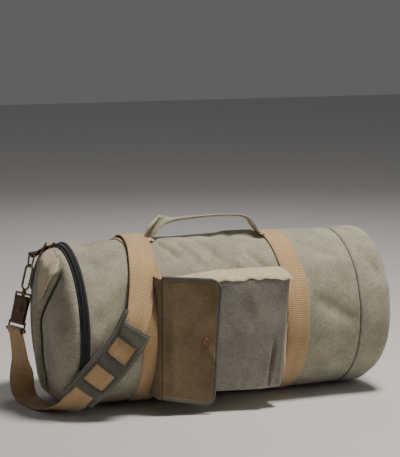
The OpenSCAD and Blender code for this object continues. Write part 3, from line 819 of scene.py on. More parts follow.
def add_zipped_end():
    turns = 260
    phi = np.linspace(-math.pi, math.pi, turns, endpoint=False)
    share = np.concatenate([np.linspace(1.0, 0.9, 14), np.linspace(0.889, 0.0, 84)])
    S, PHI = net(share, phi)
    y, z = -LIP_R * S * np.sin(PHI), AXIS_Z + LIP_R * S * np.cos(PHI)
    P = pressed(dome_point(y, z), 0.002, 0.0008)
    UV = spread(y, z)
    cloth = add_grid("end_canvas", P, UV, ["canvas", "lining"], wrap=True,
                     away_from=facing(-1, 0, 0))
    thicken(cloth, 0.0020, -1.0, 1)
    dress(cloth, "lid", "canvas", "end_lid", "end_panel", across=LID_BLEND)

    # painted shade: a near-black strip on the wall of the crease, where the lid's rear part stands above the front
    # panel and the wall lies in shade
    z = np.linspace(0.264, 0.030, 110)
    low = dome_point(crease_y(z) - 0.0030, z, 0.0006)
    high = dome_point(crease_y(z) + 0.0008, z, 0.0006)
    across = (high - low) / np.linalg.norm(high - low, axis=1)[:, None]
    centres = low + 0.48 * (high - low)
    run = np.gradient(centres, axis=0)
    out = np.cross(across, run)
    out = unit(out)
    out = out * np.sign(-out[:, 1])[:, None]
    loop = oval(0.0029, 0.0008, 10)
    taper = tapered(110, 20, 0.1)
    shade = sweep("crease_shade", centres + out * 0.0007, across, out, loop, "seam_shadow", scale=taper)
    dress(shade, "lid", "canvas")

    # the two tapes of the zip, and the plain rim where there is no zip
    def tape(name, s0, s1, phi0, phi1, paint, ridge):
        steps = max(8, int((phi1 - phi0) * 42))
        S, A = net(np.linspace(s0, s1, 11), np.linspace(phi0, phi1, steps))
        lift = 0.0003 + 0.0011 * bell(S, ridge, 0.0010) + 0.0007 * bell(S, ridge * 0.45, 0.0008)
        P = rim_point(S, lift, A)
        UV = spread(A * ZIP_R, S)
        made = add_grid(name, P, UV, [paint], away_from=lambda c: spread(-0.25, 0.0, AXIS_Z + 0 * c[:, 0]))
        return thicken(made, 0.0012, -1.0)

    body_tape = tape("zip_tape_outer", -RIM_HALF - 0.0012, -0.0007, ZIP_FROM, ZIP_TO, "zip_tape", -0.0058)
    dress(body_tape, "bag", "zip_tape", "zip_tape_body")
    lid_tape = tape("zip_tape_inner", 0.0007, RIM_HALF + 0.0012, ZIP_FROM, ZIP_TO, "zip_tape", 0.0058)
    dress(lid_tape, "lid", "zip_tape", "zip_tape_lid", across=LID_BLEND)
    rim = tape("rim_canvas", -RIM_HALF - 0.001, RIM_HALF + 0.001, -math.pi - ZIP_FROM - 0.004,
        ZIP_FROM + 0.004, "canvas", -0.004)
    dress(rim, "bag", "canvas")

    # nylon coil: one row of interlocking loops on each tape
    def coil(name, side, offset):
        pitch = 0.0026
        count = int((ZIP_TO - ZIP_FROM) * ZIP_R / pitch)
        points, faces, corners = [], [], []
        ring = [(-1, -1), (-1, 1), (1, 1), (1, -1)]
        for k in range(count):
            a = ZIP_FROM + (k + offset) * pitch / ZIP_R
            base = len(points)
            for s, size in ((-0.0024, 0.55), (-0.0012, 1.0), (0.0006, 1.0), (0.0013, 0.55)):
                for da, dh in ring:
                    points.append(rim_point(side * (0.0008 - s - 0.0006),
                                            0.0011 + dh * 0.0008 * size, a + da * 0.00055 * size / ZIP_R).tolist())
            more = bead(base, 4, 4)
            faces += more[0]
            corners += more[1]
        return close_up(add_mesh(name, points, faces, corners, ["zip_teeth"]))

    dress(coil("zip_coil_outer", -1, 0.0), "bag", "zip_teeth", "zip_teeth_body")
    lid_coil = coil("zip_coil_inner", 1, 0.5)
    dress(lid_coil, "lid", "zip_teeth", "zip_teeth_lid", across=LID_BLEND)

    # cream facing that narrows down the crease
    rows, cols = 60, 18
    P, UV = np.zeros((rows, cols, 3)), np.zeros((rows, cols, 2))
    for i, t in enumerate(np.linspace(0, 1, rows)):
        z = 0.2862 - 0.084 * t
        left = crease_y(z) + 0.0012
        right = -0.018 + 0.022 * smooth_step(0.196, 0.232, z) + 0.026 * smooth_step(0.250, 0.290, z)
        y = np.linspace(left, max(right, left + 0.002), cols)
        z_row = np.minimum(z, AXIS_Z + np.sqrt(np.maximum((LIP_R - 0.0015) ** 2 - y ** 2, 0)))
        wave = np.linspace(0, 1, cols)
        pleat = 0.0028 * np.sin(wave * 11.0 + 1.0 * t) * (0.5
            + 0.5 * t) + 0.0018 * (1 - smooth_step(0, 0.14, wave))
        P[i] = dome_point(y, z_row, 0.0030 + pleat)
        UV[i] = spread(y, z_row)
    cream = add_grid("facing_cream", P, UV, ["cream_canvas"], away_from=facing(-1, 0, 0))
    thicken(cream, 0.0010, -1.0)
    dress(cream, "lid", "cream_canvas", "lid_facing")
    edges = [np.array([P[i, j] for i in range(rows)]) for j in (1, cols - 2)]
    normal = rows_of([-1.0, 0, 0], rows)
    dress(joined("facing_stitching", [stitches("row", e, normal, "thread_tan") for e in edges]), "lid",
        "cream_canvas")


# ---- ribbons of cloth ------------------------------------------------------------------------
def mm(rows):
    """Rows given in millimetres; the first three numbers of each become metres."""
    rows = np.array(rows, float)
    rows[:, :3] /= 1000
    return rows


def cloth_ribbon(name, rows, paint, half, thick, steps=10, curl=None, scale=None, lift=0.0, across=14):
    """A strip of cloth along rows of [x, y, z, width direction]; curl turns its edges up."""
    rows = mm(rows)
    u = np.linspace(0, len(rows) - 1, (len(rows) - 1) * steps + 1)
    centres, _, width, normal = path_frames(rows, u)
    keys = np.arange(len(rows))
    bend = np.interp(u, keys, np.zeros(len(rows)) if curl is None else curl)
    size = np.interp(u, keys, np.ones(len(rows)) if scale is None else scale)
    s = np.linspace(-1, 1, across)

    def bent(i, share, h):
        """Row i's place at a share of the half width and height h, with its angle round the curl."""
        c = bend[i] if abs(bend[i]) > 1e-3 else 1e-3
        R, angle = 2 * half * size[i] / c, c * share / 2
        return (centres[i] + width[i] * ((R - h) * math.sin(angle))
                + normal[i] * (R - (R - h) * math.cos(angle))), angle

    P = [bent(i, k, side * thick / 2 * (0.55 if abs(k) > 0.999 else 1) + lift)[0]
         for i in range(len(u)) for side in (1, -1) for k in (s if side > 0 else s[::-1])]
    faces, corners = tube(run_length(centres), np.concatenate([s, s[::-1]]) * half)
    made = close_up(add_mesh(name, P, faces, corners, [paint]))

    def edge(share):
        """Places and normals of a sewing line on the outer face, at this share of the half width."""
        places, ups = [], []
        for i in range(len(u)):
            place, angle = bent(i, share, thick / 2 + lift)
            places.append(place)
            ups.append(normal[i] * math.cos(angle) - width[i] * math.sin(angle))
        return np.array(places), np.array(ups)
    return made, edge


# ---- the carry handle ------------------------------------------------------------------------
HANDLE = [[-134, -13, 297.5, -0.80, 0.30, 0.50], [-133, -14, 305, -0.86, 0.10, 0.46],
    [-129, -13, 315, -0.80, -0.10, 0.58],
          [-119, -10, 324, -0.55, -0.05, 0.83], [-104, -8, 329, -0.20, 0.55, 0.80], [-84, -6, 331, 0, 0.95,
              0.10],
          [-45, -5, 333, 0, 1, -0.10], [0, -5, 334, 0, 1, -0.14], [38, -5, 333, 0, 1, -0.12], [56, -5, 331,
              0, 1, -0.05],
          [67, -6, 325, 0, 1, 0.05], [76, -9, 313, 0, 1, 0], [84, -13, 302.5, 0, 1, 0.10], [93, -15, 298.6,
              0, 1, 0.14]]
HANDLE_CURL = [3.4, 3.9, 4.0, 3.6, 1.8, -0.2, -0.25, -0.2, -0.25, -0.6, -0.3, -0.5, -0.8, -0.5]
HANDLE_SIZE = [0.80, 1.05, 1.28, 1.20, 0.70, 0.72, 0.86, 0.90, 0.90, 0.92, 0.92, 0.9, 0.85, 0.75]
# the sewn ends are on the bag and the loop rises above them; these two points are passed as across, and dress only
# bakes the pieces in place
HANDLE_BLEND = ((-0.02, 0.0, 0.299), (-0.02, 0.0, 0.327))


def add_handle():
    top, edge = cloth_ribbon("handle_canvas", HANDLE, "canvas", 0.014, 0.0022, 12, HANDLE_CURL,
        HANDLE_SIZE, 0.0011)
    dress(top, "handle", "canvas", "handle_top", across=HANDLE_BLEND)
    lining, _ = cloth_ribbon("handle_facing", HANDLE, "cream_canvas", 0.0136, 0.0020, 12, HANDLE_CURL,
        HANDLE_SIZE, -0.0011)
    dress(lining, "handle", "cream_canvas", "handle_lining", across=HANDLE_BLEND)
    rows = [stitches("row", *edge(share), "thread_tan", *MEDIUM) for share in (-0.78, 0.78)]
    sewn = joined("handle_stitching", rows)
    dress(sewn, "handle", "canvas", across=HANDLE_BLEND)

    patches = []
    for centre, span in ((-0.136, 0.009), (0.0875, 0.0045)):
        S, A = net(np.linspace(-1, 1, 14), np.linspace(-0.04, 0.20, 18))
        r = BAND_R + 0.0018 + 0.0016 * (1 - S ** 4) + 0.0008 * np.sin(A * 60 + centre * 90) * (1 - S ** 2)
        P = around(centre + S * span, A, r)
        UV = spread(S * span, A * BAND_R)
        patch = add_grid("tab", P, UV, ["cream_canvas"], away_from=lambda c: spread(c[:, 0], 0.0, AXIS_Z))
        patches.append(thicken(patch, 0.0020, -1.0))
        s, a = box_line(-0.75, 0.75, 0.0, 0.17, 120)
        line = around(centre + s * span, a, BAND_R + 0.0018 + 0.0016 * (1 - s ** 4))
        patches.append(stitches("row", line, line - spread(line[:, 0], 0 * s, 0 * s + AXIS_Z),
            "thread_tan", *FINE))
    dress(joined("handle_end_tabs", patches), "bag", "cream_canvas", "handle_tabs")


# ---- the pocket ------------------------------------------------------------------------------
POCKET_X = (-0.122, 0.079)
POCKET_Z = (0.038, 0.240)
POCKET_LEAN = 0.013       # the far side of the pocket leans in by this at its foot
BEHIND_R = 0.1488         # where the gusset meets the barrel
TURN = math.radians(8)
FLAP_AT = np.array([-0.157, -0.1555, 0.0])
FLAP_ALONG = np.array([math.cos(TURN), -math.sin(TURN), 0.0])
FLAP_OUT = np.array([-math.sin(TURN), -math.cos(TURN), 0.0])


def pocket_y(x):
    return -0.1545 - math.tan(TURN) * (x - POCKET_X[0])


def pocket_relief(x, z):
    """How far the pocket's cloth stands out of its plane."""
    here = spread(x, 0 * x, z)
    right = smooth_step(-0.050, 0.000, x)
    up = (z - POCKET_Z[0]) / (POCKET_Z[1] - POCKET_Z[0])
    belly = 0.0050 * np.sin(math.pi * np.clip(up, 0, 1)) ** 0.8 * bell(x, 0.028, 0.055)
    crease = -0.0100 * bell(x - 0.048 - 0.08 * (z - 0.04), 0, 0.0045) * (1 - smooth_step(0.090, 0.150, z))
    ridge = 0.0045 * bell(x - 0.036 - 0.10 * (z - 0.04), 0, 0.008) * (1 - smooth_step(0.085, 0.140, z))
    slack = 0.0028 * bell(x - 0.010 + 0.25 * (z - 0.20), 0, 0.012) * bell(z, 0.205, 0.040)
    dent = -0.0042 * bell(x - 0.012 - 0.5 * (z - 0.11), 0, 0.014) * bell(z, 0.125, 0.055)
    gather = 0.0012 * np.sin(x * 260 + 1.3 * np.sin(z * 40)) * bell(z, 0.042, 0.022)
    lumps = 0.0013 * SMALL_LUMPS(here * 1.2)
    return right * (belly + crease + ridge + slack + dent + gather + lumps + 0.0004 * CREASES(here))


def add_pocket():
    turn = 0.0065
    span = POCKET_X[1] - POCKET_X[0] - turn
    s = np.concatenate([np.linspace(0, span, 86), span + np.linspace(0, math.pi / 2, 8)[1:] * turn,
                        span + turn * math.pi / 2 + np.array([0.004, 0.009])])
    bow = np.clip((s - span) / turn, 0, math.pi / 2)
    x = POCKET_X[0] + np.minimum(s, span) + turn * np.sin(bow)
    back_x = turn * (1 - np.cos(bow)) + np.maximum(s - span - turn * math.pi / 2, 0)
    rise = POCKET_Z[1] - POCKET_Z[0] - turn
    t = np.concatenate([[-turn * math.pi / 2 - 0.010, -turn * math.pi / 2 - 0.005],
        np.linspace(-math.pi / 2, 0, 8)[:-1] * turn,
                        np.linspace(0, rise, 92)])
    low = np.clip(-t / turn, 0, math.pi / 2)
    z = POCKET_Z[0] + turn + np.maximum(t, 0) - turn * np.sin(low)
    back_z = turn * (1 - np.cos(low)) + np.maximum(-t - turn * math.pi / 2, 0)
    S, T = net(s, t)
    X, Z = net(x, z)
    up = np.clip((Z - POCKET_Z[0]) / (POCKET_Z[1] - POCKET_Z[0]), 0, 1)
    share = smooth_step(0.0, 1.0, (X - 0.0) / POCKET_X[1])
    X2 = X - POCKET_LEAN * (1 - up) * share
    Z2 = Z + 0.0012 * np.sin(X * 95) * up ** 6 * smooth_step(-0.06, 0.0, X)
    relief = pocket_relief(X, Z) * (1 - 0.6 * (np.add.outer(back_x, back_z) > 1e-5))
    Y = pocket_y(X) + np.add.outer(back_x, back_z) - relief + 0.010 * (1 - up) * share ** 2
    P = spread(X2, Y, Z2)
    UV = spread(S, T)
    front = add_grid("pocket_front_canvas", P, UV, ["pocket_canvas", "lining"], away_from=facing(0, -1, 0))
    thicken(front, 0.0016, -1.0, 1)
    dress(front, "bag", "pocket_canvas", "pocket_front")
    top = P[: len(s) - 4, -1] - np.array([0, 0, 0.006])
    top[:, 1] -= 0.0001
    second = P[: len(s) - 4, -1] - np.array([0, 0, 0.0095])
    out = rows_of([-math.sin(TURN), -math.cos(TURN), 0], len(top))
    side = P[len(s) - 10, 12:-1] - np.array([0.0, 0.0002, 0])
    rows = [stitches("row", top, out, "thread_grey"), stitches("row", second, out, "thread_grey"),
            stitches("row", side, rows_of([0.3, -1, 0], len(side)), "thread_grey")]
    dress(joined("pocket_stitching", rows), "bag", "pocket_canvas")

    # the cream gusset: a sloping roof, the far side, the bottom, and the side below the flap's hinge
    A, C = net(np.linspace(0, 1, 96), np.linspace(0, 1.06, 26))
    c = np.minimum(C, 1)
    X = -0.150 + A * 0.2335 - 0.004 * (1 - c)
    tuck = np.clip(1 - A / 0.46, 0, 1)
    seam_y, seam_z = -0.1105 - 0.041 * tuck, 0.2490 - 0.005 * tuck
    lip_y = pocket_y(X) - 0.0012
    pucker = 0.0022 * np.sin(X * 118 + 0.6) * np.sin(X * 47 + 2.0) + 0.0010 * np.sin(X * 260)
    Y = seam_y + (lip_y - seam_y) * c
    Z = seam_z + (0.2425 - seam_z) * c + 0.0060 * np.sin(math.pi * c ** 0.8) + pucker * c ** 1.6
    Z = Z - 0.0030 * smooth_step(0.90, 1.06, C) - 0.004 * smooth_step(0.93, 1.0, A) * c
    roof = add_grid("pocket_roof", spread(X, Y, Z), spread(X, Y), ["cream_canvas"],
                    away_from=facing(0, 0, 1))
    parts = [thicken(roof, 0.0016, -1.0)]
    line = spread(X[:, 23], Y[:, 23], Z[:, 23])[6:]
    rows = [stitches("row", line, rows_of([0, -0.2, 1.0], len(line)), "thread_tan")]
    line = spread(X[:, 1], Y[:, 1], Z[:, 1])[6:]
    rows.append(stitches("row", line + np.array([0, 0, 0.0004]), rows_of([0, -0.7, 1.0], len(line)),
        "thread_tan"))

    Zw, C = net(np.linspace(POCKET_Z[0] + 0.001, POCKET_Z[1], 60), np.linspace(0, 1, 16))
    up = (Zw - POCKET_Z[0]) / (POCKET_Z[1] - POCKET_Z[0])
    edge_x = POCKET_X[1] - POCKET_LEAN * (1 - up) - 0.0012
    wall = -np.sqrt(np.maximum(BEHIND_R ** 2 - (Zw - AXIS_Z) ** 2, 0))
    front_y = pocket_y(POCKET_X[1]) + 0.010 * (1 - up) + turn + 0.006
    sag = 0.0035 * np.sin(math.pi * C) * np.sin(Zw * 62 + 0.4) * 0.6
    sliver = 0.0030 * smooth_step(0.200, 0.150, Zw) * smooth_step(0.045, 0.075, Zw) * smooth_step(0.5,
        0.05, C)
    far = add_grid("far", spread(edge_x + sliver - 0.004 * np.sin(math.pi * C) + sag,
        front_y + (wall - front_y) * C, Zw),
                   spread(C * 0.04, Zw), ["cream_canvas"], away_from=facing(1, 0, 0))
    parts.append(thicken(far, 0.0016, -1.0))

    Xb, C = net(np.linspace(POCKET_X[0], POCKET_X[1] - 0.014, 40), np.linspace(0, 1, 18))
    front_y = pocket_y(Xb) + turn + 0.008
    back_y = -math.sqrt(BEHIND_R ** 2 - (POCKET_Z[0] + 0.0035 - AXIS_Z) ** 2)
    low = add_grid("low", spread(Xb, front_y + (back_y - front_y) * C,
        POCKET_Z[0] + 0.0016 - 0.0014 * np.sin(math.pi * C) * np.cos(Xb * 60)),
                   spread(Xb, C * 0.05), ["cream_canvas"], away_from=facing(0, 0, -1))
    parts.append(thicken(low, 0.0016, -1.0))
    dress(joined("pocket_gusset_canvas", parts), "bag", "cream_canvas", "pocket_gusset")
    dress(joined("gusset_stitching", rows), "bag", "cream_canvas")

    # the gusset's turned edge shows beside the pocket's far side
    z = np.linspace(0.046, 0.170, 60)
    up = (z - POCKET_Z[0]) / (POCKET_Z[1] - POCKET_Z[0])
    x = POCKET_X[1] - POCKET_LEAN * (1 - up) + 0.0026 - 0.0012 * np.cos(z * 50)
    y = pocket_y(POCKET_X[1]) + 0.010 * (1 - up) + 0.0050
    loop = oval(0.0027, 0.0009, 12)
    taper = tapered(60, 22, 0.15)
    lip = sweep("gusset_edge", spread(x, y, z), rows_of([0.94, 0.34, 0], 60),
        rows_of([0.34, -0.94, 0], 60), loop,
                "cream_canvas", scale=taper)
    dress(lip, "bag", "cream_canvas")

    Zs, C = net(np.linspace(0.030, 0.2485, 60), np.linspace(0, 1, 14))
    wall = -np.sqrt(np.maximum((BAND_R + 0.0008) ** 2 - (Zs - AXIS_Z) ** 2, 0))
    turn_back = np.clip(C / 0.5, 0, 1) * math.pi / 2
    front_y = -0.1552 + 0.0026 * (1 - np.cos(turn_back))
    wall = np.maximum(wall, -0.1535)
    x = -0.1568 - 0.0068 * np.sin(turn_back) + 0.0008 * np.sin(Zs * 55) * np.sin(math.pi * C)
    near = add_grid("hinge_side_canvas", spread(x, front_y + (wall - front_y) * np.clip(2 * C - 1, 0, 1),
        Zs), spread(C * 0.04, Zs),
                    ["khaki_canvas"], away_from=facing(-1, 0, 0))
    thicken(near, 0.0016, -1.0)
    dress(near, "bag", "khaki_canvas")


def flap_relief(u, z):
    """How far the flap stands out of its plane; it is still at the hinge and at the snap."""
    here = spread(u, 0 * u, z)
    free = smooth_step(0.0, 0.022, u)
    away = 1 - 0.85 * np.exp(-((u - 0.079) ** 2 + (z - 0.132) ** 2) / 0.011 ** 2)
    fold = 0.0030 * bell((u - 0.030) * 0.75 - (z - 0.155) * 0.66, 0, 0.014) * bell(z, 0.165, 0.07)
    hollow = -0.0022 * bell((u - 0.052) * 0.80 - (z - 0.150) * 0.6, 0, 0.013) * bell(z, 0.150, 0.08)
    low = 0.0036 * smooth_step(0.100, 0.030, z) * smooth_step(0.020, 0.080, u)
    sway = 0.0026 * bell(u, 0.018, 0.012) * bell(z, 0.11, 0.09)
    pull = 0.0016 * bell(u - 0.079 + 0.5 * (z - 0.132), 0, 0.006) * bell(z, 0.105, 0.03)
    return free * (away * (fold + hollow + low + sway + pull + 0.0010 * SMALL_LUMPS(here * 1.3))
        + 0.0003 * CREASES(here))


def flap_place(u, z, lift=0.0):
    u, z = np.broadcast_arrays(u, z)
    place = FLAP_AT + u[..., None] * FLAP_ALONG + (flap_relief(u, z) + lift)[..., None] * FLAP_OUT
    place[..., 2] += z
    return place


def flap_edge(count=150):
    """The flap's free edge from the top of the hinge, round both corners, to its foot."""
    top = [(u, 0.2528 - 0.080 * u) for u in np.linspace(0, 0.084, 24)]
    corner = [(0.084 + 0.024 * math.sin(a), 0.2220 + 0.0242 * math.cos(a)) for a in np.linspace(0.1,
        math.pi / 2, 12)]
    side = [(0.108 - 0.0125 * t, 0.2220 - 0.1836 * t) for t in np.linspace(0.05, 1, 36)]
    foot = [(0.0805 + 0.015 * math.sin(a), 0.0335 + 0.017 * math.cos(a)) for a in np.linspace(math.pi / 2
        + 0.1, math.pi - 0.1, 10)]
    low = [(u, 0.0165 + 0.19 * (0.075 - u)) for u in np.linspace(0.072, 0, 22)]
    points = np.array(top + corner + side + foot + low)
    run = np.concatenate([[0], np.cumsum(np.linalg.norm(np.diff(points, axis=0), axis=1))])
    at = np.linspace(0, run[-1], count)
    return spread(*[np.interp(at, run, points[:, k]) for k in (0, 1)])


def add_flap():
    edge = flap_edge()
    spine = spread(np.full(len(edge), 0.0), np.interp(np.linspace(0, 1, len(edge)), [0, 1],
        [0.2528, 0.0308]))
    share = np.linspace(0, 0.985, 46)
    grid = spine[:, None] * (1 - share)[None, :, None] + edge[:, None] * share[None, :, None]
    P = flap_place(grid[..., 0], grid[..., 1])
    flap = add_grid("flap_canvas", P, grid, ["khaki_canvas"], away_from=lambda c: c - FLAP_OUT * 0.5)
    thicken(flap, 0.0022, 0.0)
    dress(flap, "flap", "khaki_canvas", "pocket_flap")

    tangent = np.gradient(edge, axis=0)
    tangent = unit(tangent)
    inward = spread(tangent[:, 1], -tangent[:, 0])
    if np.sum(inward * (np.array([0.04, 0.13]) - edge)) < 0:
        inward = -inward
    middle = edge + inward * 0.0022
    centres = flap_place(middle[:, 0], middle[:, 1])
    across = flap_place(*(middle + inward * 0.001).T) - flap_place(*(middle - inward * 0.001).T)
    across = unit(across)
    binding = sweep("flap_binding_canvas", centres, across, rows_of(FLAP_OUT, len(edge)),
                    strip_loop(0.0028, 0.0044, 0.6, 6), "pad_canvas")
    dress(binding, "flap", "pad_canvas", "flap_binding")
    sewn = edge + inward * 0.0062
    row = stitches("flap_stitching", flap_place(sewn[:, 0], sewn[:, 1], 0.0011),
        rows_of(FLAP_OUT, len(edge)), "thread_grey", *FINEST)
    dress(row, "flap", "pocket_canvas")


# ---- the shoulder strap ----------------------------------------------------------------------
ROUTE = [[-364.5, 71, 123.8, .34, -.94, 0], [-360, 73, 98, .4, -.92, 0], [-356, 75, 70, .5, -.86, 0],
    [-354, 75, 44, .85, -.5, 0],
         [-354, 71, 21, 1, -.1, 0], [-352, 58, 6, 1, 0, 0], [-350, 36, 2.5, 1, 0, 0], [-346, 4, 2.5, 1, 0,
             0],
         [-338, -30, 3, 1, .1, 0], [-327, -64, 7, 1, .1, -.15], [-316, -96, 17, 1, 0, -.3], [-303, -121,
             36, .87, -.1, -.42],
         [-284, -142, 64, .82, -.1, -.52], [-262, -155, 92, .78, -.1, -.58], [-240, -161, 120, .76, -.1,
             -.6], [-219, -163, 150, .8, -.1, -.55],
         [-204, -160, 181, .93, 0, -.3], [-194, -147, 210, 1, 0, -.1], [-184, -125, 243, 1, 0, 0], [-176,
             -98, 269, 1, 0, 0],
         [-166, -54, 294, 1, 0, 0], [-160, 0, 304, 1, 0, 0], [-156, 52, 295, 1, 0, 0], [-150, 104, 264, 1,
             0, 0],
         [-140, 142, 212, 1, 0, .1], [-120, 158, 160, .9, 0, .4], [-84, 161, 112, .75, 0, .65], [-30, 161,
             76, .5, 0, .85],
         [40, 161, 56, .2, 0, .98], [120, 160, 48, .1, 0, 1], [200, 157, 44, 0, 0, 1], [262, 147, 42, -.1,
             .1, .98],
         [314, 127, 46, -.3, .4, .85], [343, 100, 62, -.35, .83, .45], [357, 79, 92, -.36, .93,
             .1], [364.5, 71, 123.8, -.34, .94, 0]]
# The pad follows the strap, but keeps to the slant where the strap turns upright under its top end.
PAD = [[-318, -106, 20, .92, -.2, -.34], [-304, -123, 37, .90, -.2, -.38],
    [-285, -144, 64, .88, -.2, -.42], [-263, -157.5, 92, .86, -.18, -.47],
       [-241, -163.5, 120, .85, -.16, -.50], [-221, -165.5, 148, .84, -.15, -.52], [-206, -165.0, 176, .84,
           -.14, -.53], [-192, -164, 204, .84, -.14, -.53]]
PAD_FROM, PAD_TO = 0.95, 6.1
WINDOWS = ((2.16, 3.20), (4.03, 5.06))


def add_strap():
    rows = mm(ROUTE)
    u = np.linspace(0, len(rows) - 1, (len(rows) - 1) * 10 + 1)
    centres, _, width, normal = path_frames(rows, u)
    strap = sweep("strap_webbing", centres, width, normal, strip_loop(STRAP_W / 2, 0.0028, 0.4, 14),
        "webbing")
    dress(strap, "bag", "webbing", "shoulder_strap")

    # the pad: a sewn sleeve round the strap with two windows and slanting ends
    pad_rows = mm(PAD)
    fine = np.linspace(0, len(pad_rows) - 1, 561)
    spine, _, spine_width, spine_normal = path_frames(pad_rows, fine)
    spine_run = run_length(spine)
    start, stop = np.interp([PAD_FROM, PAD_TO], fine, spine_run)
    total = stop - start
    half = PAD_W / 2 + 0.001
    v = np.linspace(-1, 1, 93)

    def pad_frame(s, across):
        """Centre, width and normal at a share s of the pad's length; the ends slant."""
        low = start + 0.0020 * across
        high = stop - 0.0130 - 0.0030 * across + 0.0200 * smooth_step(-0.64, -0.74, across)
        at = low + (high - low) * s
        pick = lambda values: spread(*[np.interp(at, spine_run, values[:, k]) for k in range(3)])
        return pick(spine), pick(spine_width), pick(spine_normal)

    share = np.linspace(0, 1, 331)
    S, V = net(share, v)
    centre, width, normal = pad_frame(S, V)
    edge_in = lambda d: np.sqrt(np.clip(1 - (1 - np.clip(d / 0.006, 0, 1)) ** 2, 0, 1))
    ends = np.minimum(edge_in(share * total), edge_in((1 - share) * total))
    inside, rim = np.zeros(S.shape), np.zeros(S.shape)
    window_at = [((np.interp(a, fine, spine_run) - start) / total,
        (np.interp(b, fine, spine_run) - start) / total) for a, b in WINDOWS]
    for a, b in window_at:
        along = np.minimum(S - a, b - S) * total
        wide = 0.0213 - np.abs(V) * half
        depth = np.minimum(along, wide)
        inside = np.maximum(inside, smooth_step(-0.0004, 0.0007, depth))
        rim = np.maximum(rim, np.exp(-((depth + 0.0028) / 0.0016) ** 2))
    # at the lower end the strap lies open between the pad's two edges
    notch = smooth_step(-0.0004, 0.0010, np.minimum(0.026 - S * total, 0.0205 - np.abs(V) * half))
    inside = np.maximum(inside, notch)
    puff = (1 - np.abs(V) ** 3.2) * ends[:, None]
    wrinkle = 0.0006 * np.sin(S * total * 170 + V * 2.0) * (1 - V ** 2) + 0.0007 * np.sin(S * total * 62
        + 1 - V * 3.0) * (1 - V ** 4)
    height = 0.0017 + 0.0034 * puff + wrinkle * ends[:, None] - 0.0008 * rim * puff
    height = height * (1 - inside) + 0.0015 * inside
    under = 0.0017 + 0.0022 * puff
    cup = 0.0028 * V ** 2
    flare = half * (0.965 + 0.035 * ends)[:, None] * V
    outer = centre + width * flare[..., None] - normal * (height - cup)[..., None]
    inner = centre + width * flare[..., None] + normal * (under + cup)[..., None]
    ring = np.concatenate([outer, inner[:, ::-1]], 1)
    places = np.concatenate([v, v[::-1]]) * half
    run = share * total
    faces, corners = tube(run, places)
    windowed = [j < len(v) - 1 and inside[i:i + 2, j:j + 2].min() > 0.93
                for i in range(len(run) - 1) for j in range(len(places))] + [False, False]
    pad = add_mesh("pad_canvas_sleeve", ring.reshape(-1, 3), faces, corners, ["pad_canvas", "webbing"])
    pad.data.polygons.foreach_set("material_index", [int(w) for w in windowed])
    close_up(pad)
    dress(pad, "bag", "pad_canvas", "shoulder_pad")

    def on_pad(s, across):
        """Places and outward normals at shares s of the pad's length and distances across it."""
        c, w, m = pad_frame(s, across / half)
        h = 0.0017 + 0.0034 * (1 - np.abs(across / half) ** 3.2) - 0.0028 * (across / half) ** 2
        return c + w * across[:, None] - m * h[:, None], -m
    rows_made = []
    s = np.linspace(0.02, 0.98, 220)
    for side in (-1, 1):
        rows_made.append(stitches("row", *on_pad(s, np.full(220, side * (half - 0.0034))), "thread_grey"))
    for a, b in window_at:
        gap = 0.0028
        line = box_line(a - gap / total, b + gap / total, -0.0233, 0.0233, 90)
        rows_made.append(stitches("row", *on_pad(*line), "thread_dark"))
    for s0 in (0.030, 0.970):
        across = np.linspace(-half + 0.004, half - 0.004, 60)
        rows_made.append(stitches("row", *on_pad(np.full(60, s0), across), "thread_grey"))
    dress(joined("pad_stitching", rows_made), "bag", "pad_canvas")


# ---- leather and hardware at the ends --------------------------------------------------------
HANG = (np.array([-0.3458, 0.0777, 0.19784]), math.radians(20), math.radians(16))


def hang(points, side):
    """From the hook's own frame, millimetres, to the bag; the rear set is the mirror image."""
    p = np.atleast_2d(np.array(points, float)) / 1000
    at, turn, lean = HANG
    x = p[:, 0] * math.cos(lean) + p[:, 2] * math.sin(lean)
    z = -p[:, 0] * math.sin(lean) + p[:, 2] * math.cos(lean)
    world = spread(x * math.cos(turn) - p[:, 1] * math.sin(turn),
        x * math.sin(turn) + p[:, 1] * math.cos(turn), z) + at
    world[:, 0] *= side
    return world


def smooth_path(points, per=8):
    points = np.asarray(points, float)
    return spline(points, np.linspace(0, len(points) - 1, (len(points) - 1) * per + 1))


def strap_along(name, path, across, half, thick, paint, scale=None):
    """A strip along a path, its width near the given direction; also gives its outer normals."""
    heading = np.gradient(path, axis=0)
    heading = unit(heading)
    width = np.broadcast_to(across, path.shape) - (np.broadcast_to(across, path.shape) * heading).sum(1)[:,
        None] * heading
    width = unit(width)
    normal = np.cross(heading, width)
    made = sweep(name, path, width, normal, strip_loop(half, thick, 0.35, 10), paint, scale)
    return made, width, normal


def dome(place, up, radius, height, paint, name):
    """A domed rivet or stud head."""
    up = Vector(up).normalized()
    turn = up.to_track_quat("Z", "Y").to_matrix()
    points = []
    profile = [(1.0, -0.2), (1.0, 0.12), (0.93, 0.45), (0.78, 0.72), (0.5, 0.92), (0.22, 0.99)]
    count = 24
    for r, h in profile:
        for k in range(count):
            a = 2 * math.pi * k / count
            points.append(Vector(place) + turn @ Vector((radius * r * math.cos(a),
                radius * r * math.sin(a), height * h)))
    faces, corners = bead(0, len(profile), count)
    return close_up(add_mesh(name, [tuple(p) for p in points], faces, corners, [paint]))


